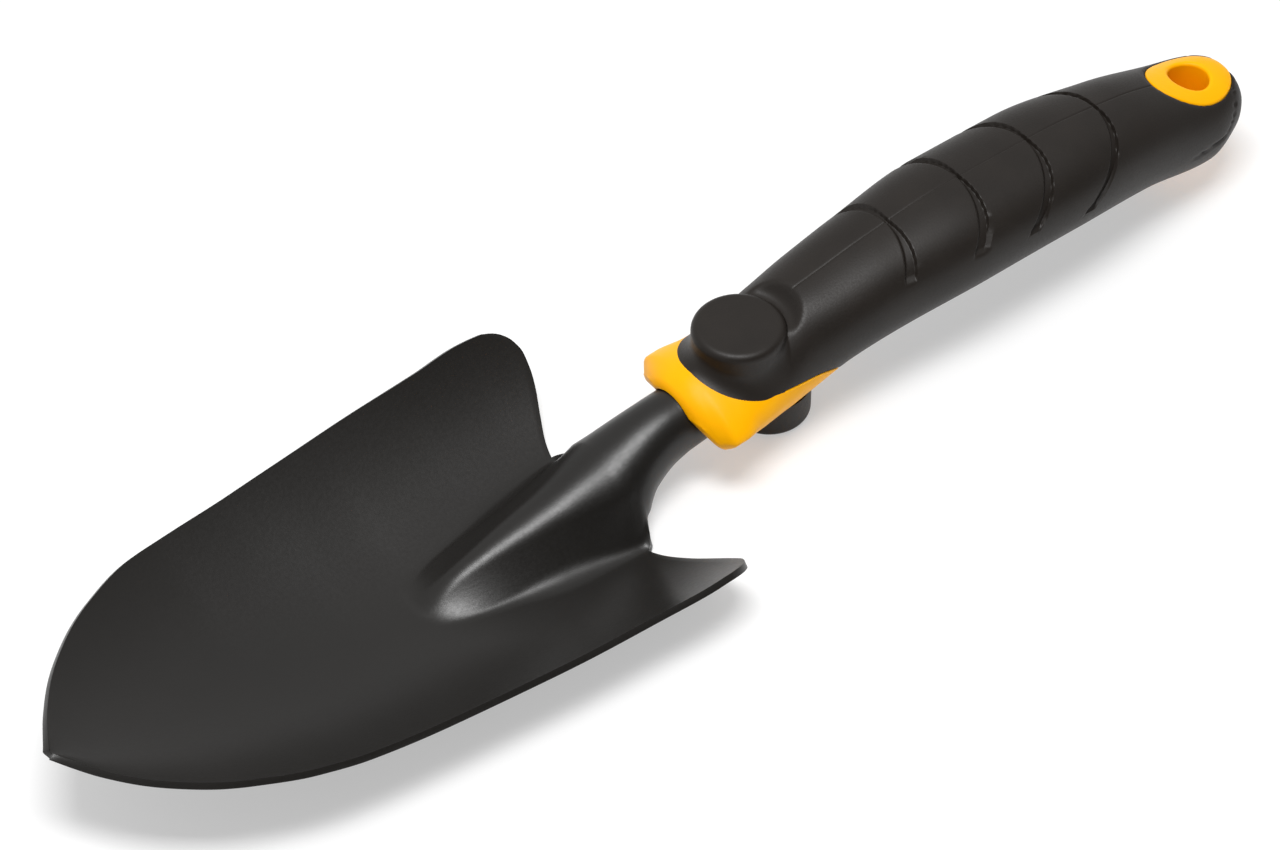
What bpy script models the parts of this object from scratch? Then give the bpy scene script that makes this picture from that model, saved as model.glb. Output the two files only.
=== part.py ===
"""Hand planting trowel: one pressed steel blade with a rolled neck, held in a two-colour moulded handle.

Run with: blender --background --python part.py

The tool is modelled along X, from the butt of the handle at X = 0 to the tip of the blade, with Z = 0 on the
axis of the rolled neck where it leaves the handle. An empty then lays the whole tool on the ground as it rests:
on the belly of the blade and on the finger stop, with the origin under the middle of its bounding box.
"""

import math

import bmesh
import bpy
from mathutils import Matrix, Vector

MM = 0.001

# Clearance between pieces that touch
FIT_GAP = 0.3 * MM

# Lengths along the tool
HANDLE_LENGTH = 162.5 * MM
NECK_LENGTH = 20.0 * MM
BLADE_LENGTH = 141.6 * MM
TANG_LENGTH = 74.0 * MM

# Pressed sheet
SHEET = 1.5 * MM
NECK_RADIUS = 7.6 * MM
TANG_RADIUS = 4.6 * MM
TANG_TAPER_START = 7.5 * MM
TANG_TAPER_LENGTH = 16.0 * MM
TANG_RISE = 0.17
SEAM_GAP = 1.2 * MM
LOCK_HOLE_RADIUS = 1.9 * MM
LOCK_HOLE_FROM_TANG_END = 26.0 * MM

# Blade: half width of the rim, depth of the dish and the rib pressed into it
BLADE_HALF_WIDTH = 45.0 * MM
NOTCH_HALF_WIDTH = 17.6 * MM
SHOULDER_REACH = 8.4 * MM
SHOULDER_FADE_LENGTH = 35.0 * MM
DISH_FLOOR = -15.6 * MM
RIB_LENGTH = 50.0 * MM
ROUND_BACK_TURN = math.radians(53.0)
NECK_OPENING_START = 0.8

# Handle cover and core
COVER_WALL = 2.8 * MM
GROOVE_DEPTH = 0.9 * MM
GROOVE_TOP_WIDTH = 1.1 * MM
GROOVE_SIDE_WIDTH = 3.6 * MM

# Thumb rest on top and finger stop below, placed from the front of the handle
THUMB_REST_RADIUS = 10.6 * MM
THUMB_REST_TOP = 18.4 * MM
THUMB_REST_FROM_FRONT = 18.5 * MM
THUMB_REST_EDGE = 1.1 * MM
THUMB_REST_FILLET = 3.2 * MM
FINGER_STOP_RADIUS = 9.5 * MM
FINGER_STOP_BOTTOM = -13.4 * MM
FINGER_STOP_FROM_FRONT = 27.5 * MM
FINGER_STOP_EDGE = 1.6 * MM
FINGER_STOP_SEAT = 1.8 * MM
FINGER_STOP_STEM_RADIUS = 3.0 * MM
FINGER_STOP_STEM_LENGTH = 1.2 * MM

# Hang hole and the oval eye of the core round it
HANG_HOLE_RADIUS = 4.8 * MM
HANG_HOLE_FROM_BUTT = 12.2 * MM
EYE_HALF_LENGTH = 11.0 * MM
EYE_HALF_WIDTH = 8.8 * MM
EYE_RECESS = 0.25 * MM

# Densities in kg per cubic metre, used only to find how the tool rests
STEEL_DENSITY = 7850.0
CORE_DENSITY = 950.0
RUBBER_DENSITY = 1050.0

# Finishes: linear colour, roughness, metalness
BLACK_PAINT = ((0.031, 0.030, 0.027), 0.42, 0.2)
YELLOW_PLASTIC = ((1.0, 0.53, 0.0), 0.32, 0.0)
BLACK_RUBBER = ((0.036, 0.033, 0.029), 0.62, 0.0)

# Sections of the handle: share of its length, top, bottom, half width (mm) and squareness of the oval
HANDLE_SECTIONS = (
    (0.000, 13.4, 6.8, 3.6, 2.0),
    (0.012, 16.2, 3.0, 7.9, 2.1),
    (0.034, 17.4, 0.2, 10.6, 2.2),
    (0.085, 18.9, -3.6, 13.2, 2.2),
    (0.212, 24.3, 0.0, 14.7, 2.2),
    (0.363, 26.9, 2.6, 17.0, 2.2),
    (0.515, 27.1, 2.2, 17.0, 2.2),
    (0.666, 24.4, 0.2, 15.0, 2.2),
    (0.750, 21.8, -1.7, 14.1, 2.2),
    (0.818, 19.5, -6.0, 13.6, 2.1),
    (0.855, 16.8, -7.2, 13.9, 2.0),
    (0.915, 12.6, -7.5, 14.9, 1.8),
    (0.950, 12.2, -7.0, 16.6, 1.45),
    (0.966, 11.8, -7.0, 16.6, 1.45),
    (0.980, 10.9, -7.0, 14.2, 1.6),
    (0.993, 9.5, -7.0, 11.0, 1.9),
    (1.000, 8.4, -6.8, 9.0, 2.0),
)

# Edge where the cover meets the collar, seen from the side: distance back from the front, height (mm)
COLLAR_EDGE = (
    (7.2, 24.0),
    (7.4, 10.8),
    (9.2, 9.5),
    (13.3, 8.1),
    (19.2, 7.1),
    (27.5, 6.4),
    (31.5, 5.9),
    (35.5, 4.4),
    (40.5, -1.5),
    (42.5, -12.0),
)

# Grooves over the grip: share of the handle length where they cross the top, lean (X per unit of Z), height of
# their ends (mm)
GROOVES = (
    (0.630, -0.62, 18.6),
    (0.505, -0.80, 18.6),
    (0.382, -1.13, 16.8),
    (0.256, -1.35, 13.8),
)

# Front of the collar, seen from the side: distance back from the front of the handle, height (mm)
COLLAR_FRONT = (
    (0.0, 24.0),
    (0.0, 5.4),
    (0.7, 4.0),
    (2.3, 1.0),
    (5.4, -3.4),
    (7.4, -7.0),
    (8.4, -12.0),
)

# Neck between handle and blade: share of its length, widening and sinking of its round back (mm), how far its sides
# stay rolled in, and how much shorter its section is than the tube's from crown to edge (mm)
NECK_SECTIONS = (
    (0.000, 0.0, 0.4, 1.0, 0.0),
    (0.200, 0.2, 1.1, 0.95, 0.6),
    (0.500, 1.2, 3.5, 0.9, 1.9),
    (0.800, 2.9, 7.3, 0.51, 3.7),
    (1.000, 3.9, 9.7, 0.0, 1.8),
)

# Rim of the blade: distance back from the tip, share of the half width, height (mm)
BLADE_RIM = (
    (0.0, 0.013, 5.0),
    (2.4, 0.110, 4.8),
    (5.9, 0.232, 4.5),
    (11.8, 0.393, 4.3),
    (17.7, 0.512, 4.1),
    (23.6, 0.609, 3.9),
    (29.5, 0.682, 3.7),
    (41.4, 0.792, 3.0),
    (53.2, 0.845, 1.7),
    (71.0, 0.892, 0.9),
    (88.6, 0.932, 1.0),
    (106.0, 0.967, 1.3),
    (124.0, 0.989, 1.8),
    (135.0, 1.006, 2.4),
    (141.6, 0.998, 2.3),
)

# Floor of the dish along the middle: distance back from the tip, height above DISH_FLOOR (mm), power of the curve
# by which the dish rises to its rim
BLADE_FLOOR = (
    (0.0, 20.2, 2.0),
    (8.0, 16.8, 2.0),
    (20.0, 12.3, 2.0),
    (35.0, 7.8, 2.0),
    (54.0, 3.8, 2.0),
    (79.0, 0.9, 2.0),
    (97.0, 0.1, 2.1),
    (120.0, 0.1, 2.4),
    (141.6, 0.1, 2.6),
)

# Back edge of each shoulder: distance out from the middle as a share of the half width, reach towards the handle
SHOULDER_EDGE = (
    (0.392, 0.00),
    (0.468, 0.13),
    (0.609, 0.50),
    (0.728, 0.82),
    (0.800, 0.95),
    (0.870, 1.00),
    (0.930, 0.87),
    (0.965, 0.66),
    (0.985, 0.44),
    (1.000, 0.14),
)

# Rib pressed into the dish: share of its length, drop of its crest, half width of its foot (mm), slope of its flank
# as a multiple of the straight slope from crest to foot, and share of its round back in its roundings
RIB_SECTIONS = (
    (0.000, 0.0, 18.4, 1.45, 0.74),
    (0.070, 1.4, 18.5, 1.45, 0.69),
    (0.130, 2.55, 18.5, 1.44, 0.62),
    (0.240, 4.4, 18.3, 1.45, 0.51),
    (0.370, 6.05, 17.5, 1.45, 0.44),
    (0.500, 7.6, 15.6, 1.39, 0.44),
    (0.590, 8.8, 13.7, 1.31, 0.5),
    (0.670, 10.0, 12.5, 1.26, 0.52),
    (0.750, 11.2, 11.4, 1.23, 0.54),
    (0.830, 12.8, 10.5, 1.26, 0.52),
    (0.910, 14.9, 9.5, 1.38, 0.5),
    (0.970, 16.6, 8.4, 1.42, 0.46),
    (1.000, 17.3, 7.6, 1.42, 0.46),
)

# Cutting solids reach past the handle by this much
CUTTER_MARGIN = 4.0 * MM
HANDLE_CEILING = max(row[1] for row in HANDLE_SECTIONS) * MM + CUTTER_MARGIN
HANDLE_BASEMENT = min(row[2] for row in HANDLE_SECTIONS) * MM - CUTTER_MARGIN
HANDLE_SIDE = max(row[3] for row in HANDLE_SECTIONS) * MM + CUTTER_MARGIN

# Mesh steps
RING_SIDES = 32
LEAST_HALF_SIZE = 0.3 * MM
LEAST_TURN = 1e-6
MERGE_DISTANCE = 0.001 * MM
SMOOTH_ANGLE = math.radians(35.0)
TANG_SIDES = 20
FORM_SHARES = (
    0.0, 0.004, 0.012, 0.034, 0.055, 0.085, 0.125, 0.17, 0.212, 0.26, 0.31, 0.363, 0.44, 0.515, 0.59, 0.666,
    0.72, 0.77, 0.818, 0.855, 0.885, 0.915, 0.935, 0.955, 0.970, 0.976, 0.982, 0.988, 0.993, 1.0,
)
SPINE_SHARES = (0.0, 0.012, 0.034, 0.085, 0.15, 0.212, 0.29, 0.363, 0.515, 0.666, 0.74, 0.818, 0.855, 0.915, 0.955)
EDGE_STEPS = 5
TURN_STEPS = 32
RIB_COLUMNS = 9
WING_COLUMNS = 8
TANG_ROWS = 5
TAPER_ROWS = 4
NECK_ROWS = 10
BLADE_ROWS = 24
TIP_CROWDING = 1.35
RIM_CROWDING = 1.5

NECK_END = HANDLE_LENGTH + NECK_LENGTH
TIP = NECK_END + BLADE_LENGTH
TANG_END = HANDLE_LENGTH - TANG_LENGTH
TAPER_FRONT = HANDLE_LENGTH - TANG_TAPER_START
TAPER_BACK = TAPER_FRONT - TANG_TAPER_LENGTH


def through(table, position, column=1):
    """Reads a column of a table at a position, on a smooth curve through its rows that never overshoots them."""
    rows = [(row[0], row[column]) for row in table]
    if position <= rows[0][0]:
        return rows[0][1]
    if position >= rows[-1][0]:
        return rows[-1][1]
    slopes = [(b[1] - a[1]) / (b[0] - a[0]) for a, b in zip(rows, rows[1:])]
    tangents = [slopes[0]]
    for before, after in zip(slopes, slopes[1:]):
        tangents.append(0.0 if before * after <= 0 else 2 * before * after / (before + after))
    tangents.append(slopes[-1])
    span = next(i for i in range(len(slopes)) if position <= rows[i + 1][0])
    (x0, y0), (x1, y1) = rows[span], rows[span + 1]
    width = x1 - x0
    t = (position - x0) / width
    rise = y0 * (1 + 2 * t) * (1 - t) ** 2 + y1 * t * t * (3 - 2 * t)
    lean = tangents[span] * t * (1 - t) ** 2 - tangents[span + 1] * t * t * (1 - t)
    return rise + lean * width


def add_object(name, bm):
    """Makes an object from a bmesh, with its faces turned outwards and split the same way on every copy."""
    bmesh.ops.recalc_face_normals(bm, faces=bm.faces)
    bmesh.ops.triangulate(bm, faces=bm.faces, quad_method="FIXED", ngon_method="EAR_CLIP")
    mesh = bpy.data.meshes.new(name)
    bm.to_mesh(mesh)
    bm.free()
    piece = bpy.data.objects.new(name, mesh)
    bpy.context.scene.collection.objects.link(piece)
    return piece


def combine(piece, other, operation):
    """Joins, cuts or crosses a piece with another solid, and removes that other solid."""
    modifier = piece.modifiers.new(operation.title(), "BOOLEAN")
    modifier.operation = operation
    modifier.solver = "EXACT"
    modifier.object = other
    apply_modifiers(piece)
    bpy.data.objects.remove(other)
    return piece


def apply_modifiers(piece):
    """Turns what the modifiers show into the piece's own mesh."""
    bpy.context.view_layer.update()
    shown = piece.evaluated_get(bpy.context.evaluated_depsgraph_get())
    old = piece.data
    piece.data = bpy.data.meshes.new_from_object(shown)
    piece.modifiers.clear()
    bpy.data.meshes.remove(old)


def skin_rings(bm, rings):
    """Closes a row of rings of vertices into one solid with flat ends."""
    for near, far in zip(rings, rings[1:]):
        for i, corner in enumerate(near):
            after = (i + 1) % len(near)
            bm.faces.new((corner, near[after], far[after], far[i]))
    bm.faces.new(rings[0])
    bm.faces.new(list(reversed(rings[-1])))


def power(value, exponent):
    """Raises a signed value to a power and keeps its sign."""
    return math.copysign(abs(value) ** exponent, value)


def handle_form(name, shares, inset):
    """Lofts the outer form of the handle through its sections, or the same form drawn in all round by an inset."""
    bm = bmesh.new()
    rings = []
    for share in shares:
        top = through(HANDLE_SECTIONS, share, 1) * MM - inset
        bottom = through(HANDLE_SECTIONS, share, 2) * MM + inset
        half_width = through(HANDLE_SECTIONS, share, 3) * MM - inset
        squareness = through(HANDLE_SECTIONS, share, 4)
        middle = (top + bottom) / 2
        half_height = max((top - bottom) / 2, LEAST_HALF_SIZE)
        half_width = max(half_width, LEAST_HALF_SIZE)
        x = share * HANDLE_LENGTH + inset * max(0.0, 1 - share / HANDLE_SECTIONS[3][0])
        ring = []
        for i in range(RING_SIDES):
            angle = 2 * math.pi * i / RING_SIDES
            y = half_width * power(math.cos(angle), 2 / squareness)
            z = middle + half_height * power(math.sin(angle), 2 / squareness)
            ring.append(bm.verts.new((x, y, z)))
        rings.append(ring)
    skin_rings(bm, rings)
    return add_object(name, bm)


def turned(name, profile, centre):
    """Spins a profile of (radius, height) points about a vertical axis through a centre."""
    bm = bmesh.new()
    points = [bm.verts.new((radius, 0.0, height)) for radius, height in profile]
    edges = [bm.edges.new(pair) for pair in zip(points, points[1:])]
    bmesh.ops.spin(
        bm,
        geom=points + edges,
        cent=(0.0, 0.0, 0.0),
        axis=(0.0, 0.0, 1.0),
        angle=2 * math.pi,
        steps=TURN_STEPS,
        use_merge=True,
    )
    bmesh.ops.remove_doubles(bm, verts=bm.verts, dist=MERGE_DISTANCE)
    bmesh.ops.translate(bm, verts=bm.verts, vec=centre)
    return add_object(name, bm)


def arc(centre_radius, centre_height, radius, start, end, steps=EDGE_STEPS):
    """Points of a rounded edge in a turned profile, with angles in degrees from outwards towards up."""
    angles = [math.radians(start + (end - start) * i / steps) for i in range(steps + 1)]
    return [(centre_radius + radius * math.cos(a), centre_height + radius * math.sin(a)) for a in angles]


def rod(name, radius, start, end):
    """A plain round rod between two points."""
    bm = bmesh.new()
    axis = Vector(end) - Vector(start)
    bmesh.ops.create_cone(
        bm, cap_ends=True, segments=TURN_STEPS, radius1=radius, radius2=radius, depth=axis.length
    )
    turn = axis.to_track_quat("Z", "Y").to_matrix().to_4x4()
    middle = Matrix.Translation((Vector(start) + Vector(end)) / 2)
    bmesh.ops.transform(bm, matrix=middle @ turn, verts=bm.verts)
    return add_object(name, bm)


def side_block(name, outline):
    """A block whose outline is seen from the side, as (x, z) points, and which is wider than the handle."""
    bm = bmesh.new()
    face = bm.faces.new([bm.verts.new((x, -HANDLE_SIDE, z)) for x, z in outline])
    grown = bmesh.ops.extrude_face_region(bm, geom=[face])
    corners = [item for item in grown["geom"] if isinstance(item, bmesh.types.BMVert)]
    bmesh.ops.translate(bm, verts=corners, vec=(0.0, 2 * HANDLE_SIDE, 0.0))
    return add_object(name, bm)


def collar_block(name, offset):
    """The space in front of and below the collar edge, moved forwards by an offset."""
    points = []
    for (back0, z0), (back1, z1) in zip(COLLAR_EDGE, COLLAR_EDGE[1:]):
        for i in range(EDGE_STEPS):
            points.append((back0 + (back1 - back0) * i / EDGE_STEPS, z0 + (z1 - z0) * i / EDGE_STEPS))
    points.append(COLLAR_EDGE[-1])
    eased = [points[0]]
    for before, here, after in zip(points, points[1:], points[2:]):
        eased.append(tuple((before[k] + 2 * here[k] + after[k]) / 4 for k in range(2)))
    eased.append(points[-1])
    outline = []
    for i, (back, z) in enumerate(eased):
        near = eased[max(i - 1, 0)]
        far = eased[min(i + 1, len(eased) - 1)]
        along = Vector((near[0] - far[0], far[1] - near[1])).normalized()
        outline.append((HANDLE_LENGTH - back * MM - along.y * offset, z * MM + along.x * offset))
    front = HANDLE_LENGTH + CUTTER_MARGIN
    outline.append((front, outline[-1][1]))
    outline.append((front, outline[0][1]))
    return side_block(name, outline)


def front_block(name):
    """The space in front of the collar, whose face leans back below the neck."""
    outline = [(HANDLE_LENGTH - back * MM, z * MM) for back, z in COLLAR_FRONT]
    front = HANDLE_LENGTH + CUTTER_MARGIN
    outline.append((front, outline[-1][1]))
    outline.append((front, outline[0][1]))
    return side_block(name, outline)


def thumb_rest(name, gap):
    """The round thumb rest, with an eased top edge and a hollow fillet at its foot, grown by a gap."""
    radius = THUMB_REST_RADIUS + gap
    top = THUMB_REST_TOP + gap
    foot = through(HANDLE_SECTIONS, 1 - THUMB_REST_FROM_FRONT / HANDLE_LENGTH, 1) * MM - COVER_WALL
    profile = [(0.0, top)]
    profile += list(reversed(arc(radius - THUMB_REST_EDGE, top - THUMB_REST_EDGE, THUMB_REST_EDGE, 0, 90)))
    hollow = arc(radius + THUMB_REST_FILLET, foot + THUMB_REST_FILLET, THUMB_REST_FILLET, 180, 250)
    profile += hollow
    profile += [(hollow[-1][0], foot - COVER_WALL), (0.0, foot - COVER_WALL)]
    return turned(name, profile, (HANDLE_LENGTH - THUMB_REST_FROM_FRONT, 0.0, 0.0))


def eye_column(name, gap):
    """An upright oval column round the hang hole, grown by a gap."""
    bm = bmesh.new()
    bmesh.ops.create_cone(
        bm, cap_ends=True, segments=TURN_STEPS, radius1=1.0, radius2=1.0, depth=HANDLE_CEILING - HANDLE_BASEMENT
    )
    size = Matrix.Diagonal((EYE_HALF_LENGTH + gap, EYE_HALF_WIDTH + gap, 1.0, 1.0))
    place = Matrix.Translation((HANG_HOLE_FROM_BUTT, 0.0, (HANDLE_CEILING + HANDLE_BASEMENT) / 2))
    bmesh.ops.transform(bm, matrix=place @ size, verts=bm.verts)
    return add_object(name, bm)


def groove_cutter(share, lean, end_height):
    """A leaning slab, thin over the top of the grip and wider at its sides, hollowed to the depth of a groove."""
    x = share * HANDLE_LENGTH
    crown = through(HANDLE_SECTIONS, share, 1) * MM
    floor = end_height * MM
    side = HANDLE_SIDE
    thin = GROOVE_TOP_WIDTH / 2
    wide = thin + (GROOVE_SIDE_WIDTH - GROOVE_TOP_WIDTH) / 2 * side / (through(HANDLE_SECTIONS, share, 3) * MM)
    plan = [(-thin, thin), (-wide, side), (wide, side), (thin, thin)]
    plan += [(-px, -py) for px, py in plan]
    top = crown + CUTTER_MARGIN
    bm = bmesh.new()
    face = bm.faces.new([bm.verts.new((x + px, py, floor)) for px, py in plan])
    grown = bmesh.ops.extrude_face_region(bm, geom=[face])
    corners = [item for item in grown["geom"] if isinstance(item, bmesh.types.BMVert)]
    bmesh.ops.translate(bm, verts=corners, vec=(0.0, 0.0, top - floor))
    for corner in bm.verts:
        corner.co.x += lean * (corner.co.z - crown)
    slab = add_object("groove_cutter", bm)
    return combine(slab, handle_form("groove_core", FORM_SHARES, GROOVE_DEPTH), "DIFFERENCE")


def tang_centre(x):
    """Height of the neck and tang axis: it rises towards the butt, inside the handle."""
    return max(HANDLE_LENGTH - x, 0.0) * TANG_RISE - NECK_SECTIONS[0][2] * MM


def tang_radius(x):
    """Outer radius of the rolled sheet: the neck tapers to the tang behind the front of the handle."""
    share = min(max((TAPER_FRONT - x) / TANG_TAPER_LENGTH, 0.0), 1.0)
    return NECK_RADIUS + (TANG_RADIUS - NECK_RADIUS) * share * share * (3 - 2 * share)


def tang_stations():
    """Positions along the rolled sheet inside the handle, from the end of the tang to the front."""
    straight = [TANG_END + (TAPER_BACK - TANG_END) * i / TANG_ROWS for i in range(TANG_ROWS)]
    taper = [TAPER_BACK + TANG_TAPER_LENGTH * i / TAPER_ROWS for i in range(TAPER_ROWS + 1)]
    return straight + taper + [HANDLE_LENGTH]


def tang_body(name, stations, grow):
    """A round solid that follows the tang, larger or smaller than its outside by the given amount."""
    bm = bmesh.new()
    rings = []
    for x in stations:
        radius = tang_radius(x) + grow
        ring = []
        for i in range(TANG_SIDES):
            angle = 2 * math.pi * i / TANG_SIDES
            height = tang_centre(x) + radius * math.sin(angle)
            ring.append(bm.verts.new((x, radius * math.cos(angle), height)))
        rings.append(ring)
    skin_rings(bm, rings)
    return add_object(name, bm)


def rolled_point(x, share):
    """A point on the rolled sheet: share 0 is the crown of the roll and share 1 is its seam."""
    radius = tang_radius(x)
    angle = share * (math.pi - SEAM_GAP / 2 / radius)
    return Vector((x, radius * math.sin(angle), tang_centre(x) + radius * math.cos(angle)))


def blade_half_width(x):
    """Half width of the blade's rim."""
    return BLADE_HALF_WIDTH * through(BLADE_RIM, (TIP - x) / MM, 1)


def dish_height(x, y):
    """Height of the dish of the blade, without its rib."""
    back = (TIP - x) / MM
    floor = DISH_FLOOR + through(BLADE_FLOOR, back) * MM
    rim = through(BLADE_RIM, back, 2) * MM
    return floor + (rim - floor) * abs(y / blade_half_width(x)) ** through(BLADE_FLOOR, back, 2)


def neck_back(share_along):
    """Radius of the neck's round back and height of its centre."""
    widening = through(NECK_SECTIONS, share_along, 1) * MM
    sinking = through(NECK_SECTIONS, share_along, 2) * MM
    return NECK_RADIUS + widening, -sinking


def rib_height(x, y):
    """Height that the rib adds to the dish: a round back, a straight flank and a hollow foot."""
    along = max((x - NECK_END) / RIB_LENGTH, 0.0)
    foot = through(RIB_SECTIONS, along, 2) * MM
    rise = sum(neck_back(1.0)) - through(RIB_SECTIONS, along, 1) * MM - dish_height(x, 0.0)
    if along >= 1 or rise <= 0 or y >= foot:
        return 0.0
    slope = through(RIB_SECTIONS, along, 3) * math.atan2(rise, foot)
    roundings = (foot * math.sin(slope) - rise * math.cos(slope)) / (1 - math.cos(slope))
    back = roundings * through(RIB_SECTIONS, along, 4)
    hollow = roundings - back
    if y <= back * math.sin(slope):
        return rise - back + math.sqrt(back * back - y * y)
    if y >= foot - hollow * math.sin(slope):
        return hollow - math.sqrt(hollow * hollow - (foot - y) ** 2)
    return rise - back * (1 - math.cos(slope)) - (y - back * math.sin(slope)) * math.tan(slope)


def blade_height(x, y):
    """Height of the blade's upper face: a dish with the rib pressed up along its middle."""
    return dish_height(x, y) + rib_height(x, y)


def neck_point(share_along, share):
    """A point on the neck: a round back, then a side that is less and less rolled in, down to its edge."""
    x = HANDLE_LENGTH + NECK_LENGTH * share_along
    radius, centre = neck_back(share_along)
    shorter = through(NECK_SECTIONS, share_along, 4) * MM
    path = share * (math.pi * NECK_RADIUS - SEAM_GAP / 2 - shorter)
    angle = min(path / radius, ROUND_BACK_TURN)
    y = radius * math.sin(angle)
    z = centre + radius * math.cos(angle)
    rest = path - radius * angle
    turn = rest * through(NECK_SECTIONS, share_along, 3) / radius
    if turn > LEAST_TURN:
        y += (math.sin(angle + turn) - math.sin(angle)) * rest / turn
        z -= (math.cos(angle) - math.cos(angle + turn)) * rest / turn
    else:
        y += rest * math.cos(angle)
        z -= rest * math.sin(angle)
    across = share * NOTCH_HALF_WIDTH * blade_half_width(NECK_END) / BLADE_HALF_WIDTH
    drop = centre + radius - sum(neck_back(1.0))
    opened = Vector((x, across, blade_height(NECK_END, across) + drop * (1 - share)))
    opening = min(max((share_along - NECK_OPENING_START) / (1 - NECK_OPENING_START), 0.0), 1.0)
    return Vector((x, y, z)).lerp(opened, opening * opening * (3 - 2 * opening))


def blade_point(row_x, share):
    """A point on the blade: shares up to 1 cross the rib, and shares from 1 to 2 cross the wing to the rim."""
    fade = max(0.0, 1 - (row_x - NECK_END) / SHOULDER_FADE_LENGTH) ** 2
    widest = blade_half_width(row_x)
    inner = NOTCH_HALF_WIDTH * widest / BLADE_HALF_WIDTH
    y = share * inner if share <= 1 else inner + (share - 1) * (widest - inner)
    reach = through(SHOULDER_EDGE, y / widest) * SHOULDER_REACH
    x = row_x - reach * fade
    return Vector((x, y, blade_height(max(x, NECK_END), y)))


def make_blade():
    """Presses the sheet: tang, neck and blade are one grid, whose wing columns start at the notch."""
    columns = RIB_COLUMNS + WING_COLUMNS
    stations = tang_stations()
    rows = []
    for x in stations[:-1]:
        rows.append([rolled_point(x, i / RIB_COLUMNS) for i in range(RIB_COLUMNS + 1)])
    for row in range(NECK_ROWS):
        along = row / NECK_ROWS
        rows.append([neck_point(along, i / RIB_COLUMNS) for i in range(RIB_COLUMNS + 1)])
    for row in range(BLADE_ROWS + 1):
        along = row / BLADE_ROWS
        x = NECK_END + BLADE_LENGTH * (1 - (1 - along) ** TIP_CROWDING)
        shares = [i / RIB_COLUMNS for i in range(RIB_COLUMNS)]
        shares += [2 - (1 - i / WING_COLUMNS) ** RIM_CROWDING for i in range(WING_COLUMNS + 1)]
        rows.append([blade_point(x, share) for share in shares])
    bm = bmesh.new()
    grid = []
    for row in rows:
        middle = [bm.verts.new(row[0])]
        near = [bm.verts.new(point) for point in row[1:]]
        far = [bm.verts.new((point.x, -point.y, point.z)) for point in row[1:]]
        blank = [None] * (columns + 1 - len(row))
        grid.append(blank + list(reversed(far)) + middle + near + blank)
    for back, front in zip(grid, grid[1:]):
        for i in range(2 * columns):
            corners = (back[i], front[i], front[i + 1], back[i + 1])
            if None not in corners:
                bm.faces.new(corners)
    mesh = bpy.data.meshes.new("blade")
    bm.to_mesh(mesh)
    bm.free()
    blade = bpy.data.objects.new("blade", mesh)
    bpy.context.scene.collection.objects.link(blade)
    wall = blade.modifiers.new("Sheet", "SOLIDIFY")
    wall.thickness = SHEET
    wall.offset = -1.0
    wall.use_quality_normals = True
    apply_modifiers(blade)
    return combine(blade, lock_rod("lock_hole", LOCK_HOLE_RADIUS), "DIFFERENCE")


def lock_rod(name, radius):
    """A rod across the tang, where the core locks into it."""
    x = TANG_END + LOCK_HOLE_FROM_TANG_END
    reach = TANG_RADIUS + SHEET
    return rod(name, radius, (x, -reach, tang_centre(x)), (x, reach, tang_centre(x)))


def make_core():
    """Moulds the hard core: collar, spine, hang eye, the seat of the tang and the seat of the finger stop."""
    collar = handle_form("handle_core", FORM_SHARES, 0.0)
    combine(collar, collar_block("collar_block", FIT_GAP / 2), "INTERSECT")
    combine(collar, thumb_rest("thumb_rest_room", FIT_GAP), "DIFFERENCE")
    eye = handle_form("eye", FORM_SHARES, EYE_RECESS)
    combine(eye, eye_column("eye_column", 0.0), "INTERSECT")
    core = combine(collar, handle_form("spine", SPINE_SHARES, COVER_WALL), "UNION")
    combine(core, eye, "UNION")
    combine(core, front_block("front_block"), "DIFFERENCE")
    seat = [TANG_END - FIT_GAP] + tang_stations()[1:] + [HANDLE_LENGTH + SHEET]
    combine(core, tang_body("tang_seat", seat, FIT_GAP), "DIFFERENCE")
    plug = [TANG_END - 4 * SHEET] + tang_stations()[1 : TANG_ROWS + 1]
    combine(core, tang_body("plug", plug, -SHEET - FIT_GAP), "UNION")
    combine(core, lock_rod("lock_pin", LOCK_HOLE_RADIUS - FIT_GAP), "UNION")
    below = (HANG_HOLE_FROM_BUTT, 0.0, HANDLE_BASEMENT)
    above = (HANG_HOLE_FROM_BUTT, 0.0, HANDLE_CEILING)
    combine(core, rod("hang_hole", HANG_HOLE_RADIUS, below, above), "DIFFERENCE")
    return combine(core, finger_stop_form("stop_room", FIT_GAP), "DIFFERENCE")


def finger_stop_form(name, gap):
    """The round finger stop with its stem, grown by a gap."""
    share = 1 - FINGER_STOP_FROM_FRONT / HANDLE_LENGTH
    surface = through(HANDLE_SECTIONS, share, 2) * MM
    radius = FINGER_STOP_RADIUS + gap
    bottom = FINGER_STOP_BOTTOM - gap
    seat = surface + FINGER_STOP_SEAT + gap
    stem = FINGER_STOP_STEM_RADIUS + gap
    profile = [(0.0, seat + FINGER_STOP_STEM_LENGTH), (stem, seat + FINGER_STOP_STEM_LENGTH), (stem, seat)]
    profile += [(radius, seat)]
    profile += list(reversed(arc(radius - FINGER_STOP_EDGE, bottom + FINGER_STOP_EDGE, FINGER_STOP_EDGE, -90, 0)))
    profile += [(0.0, bottom)]
    return turned(name, profile, (HANDLE_LENGTH - FINGER_STOP_FROM_FRONT, 0.0, 0.0))


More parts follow.
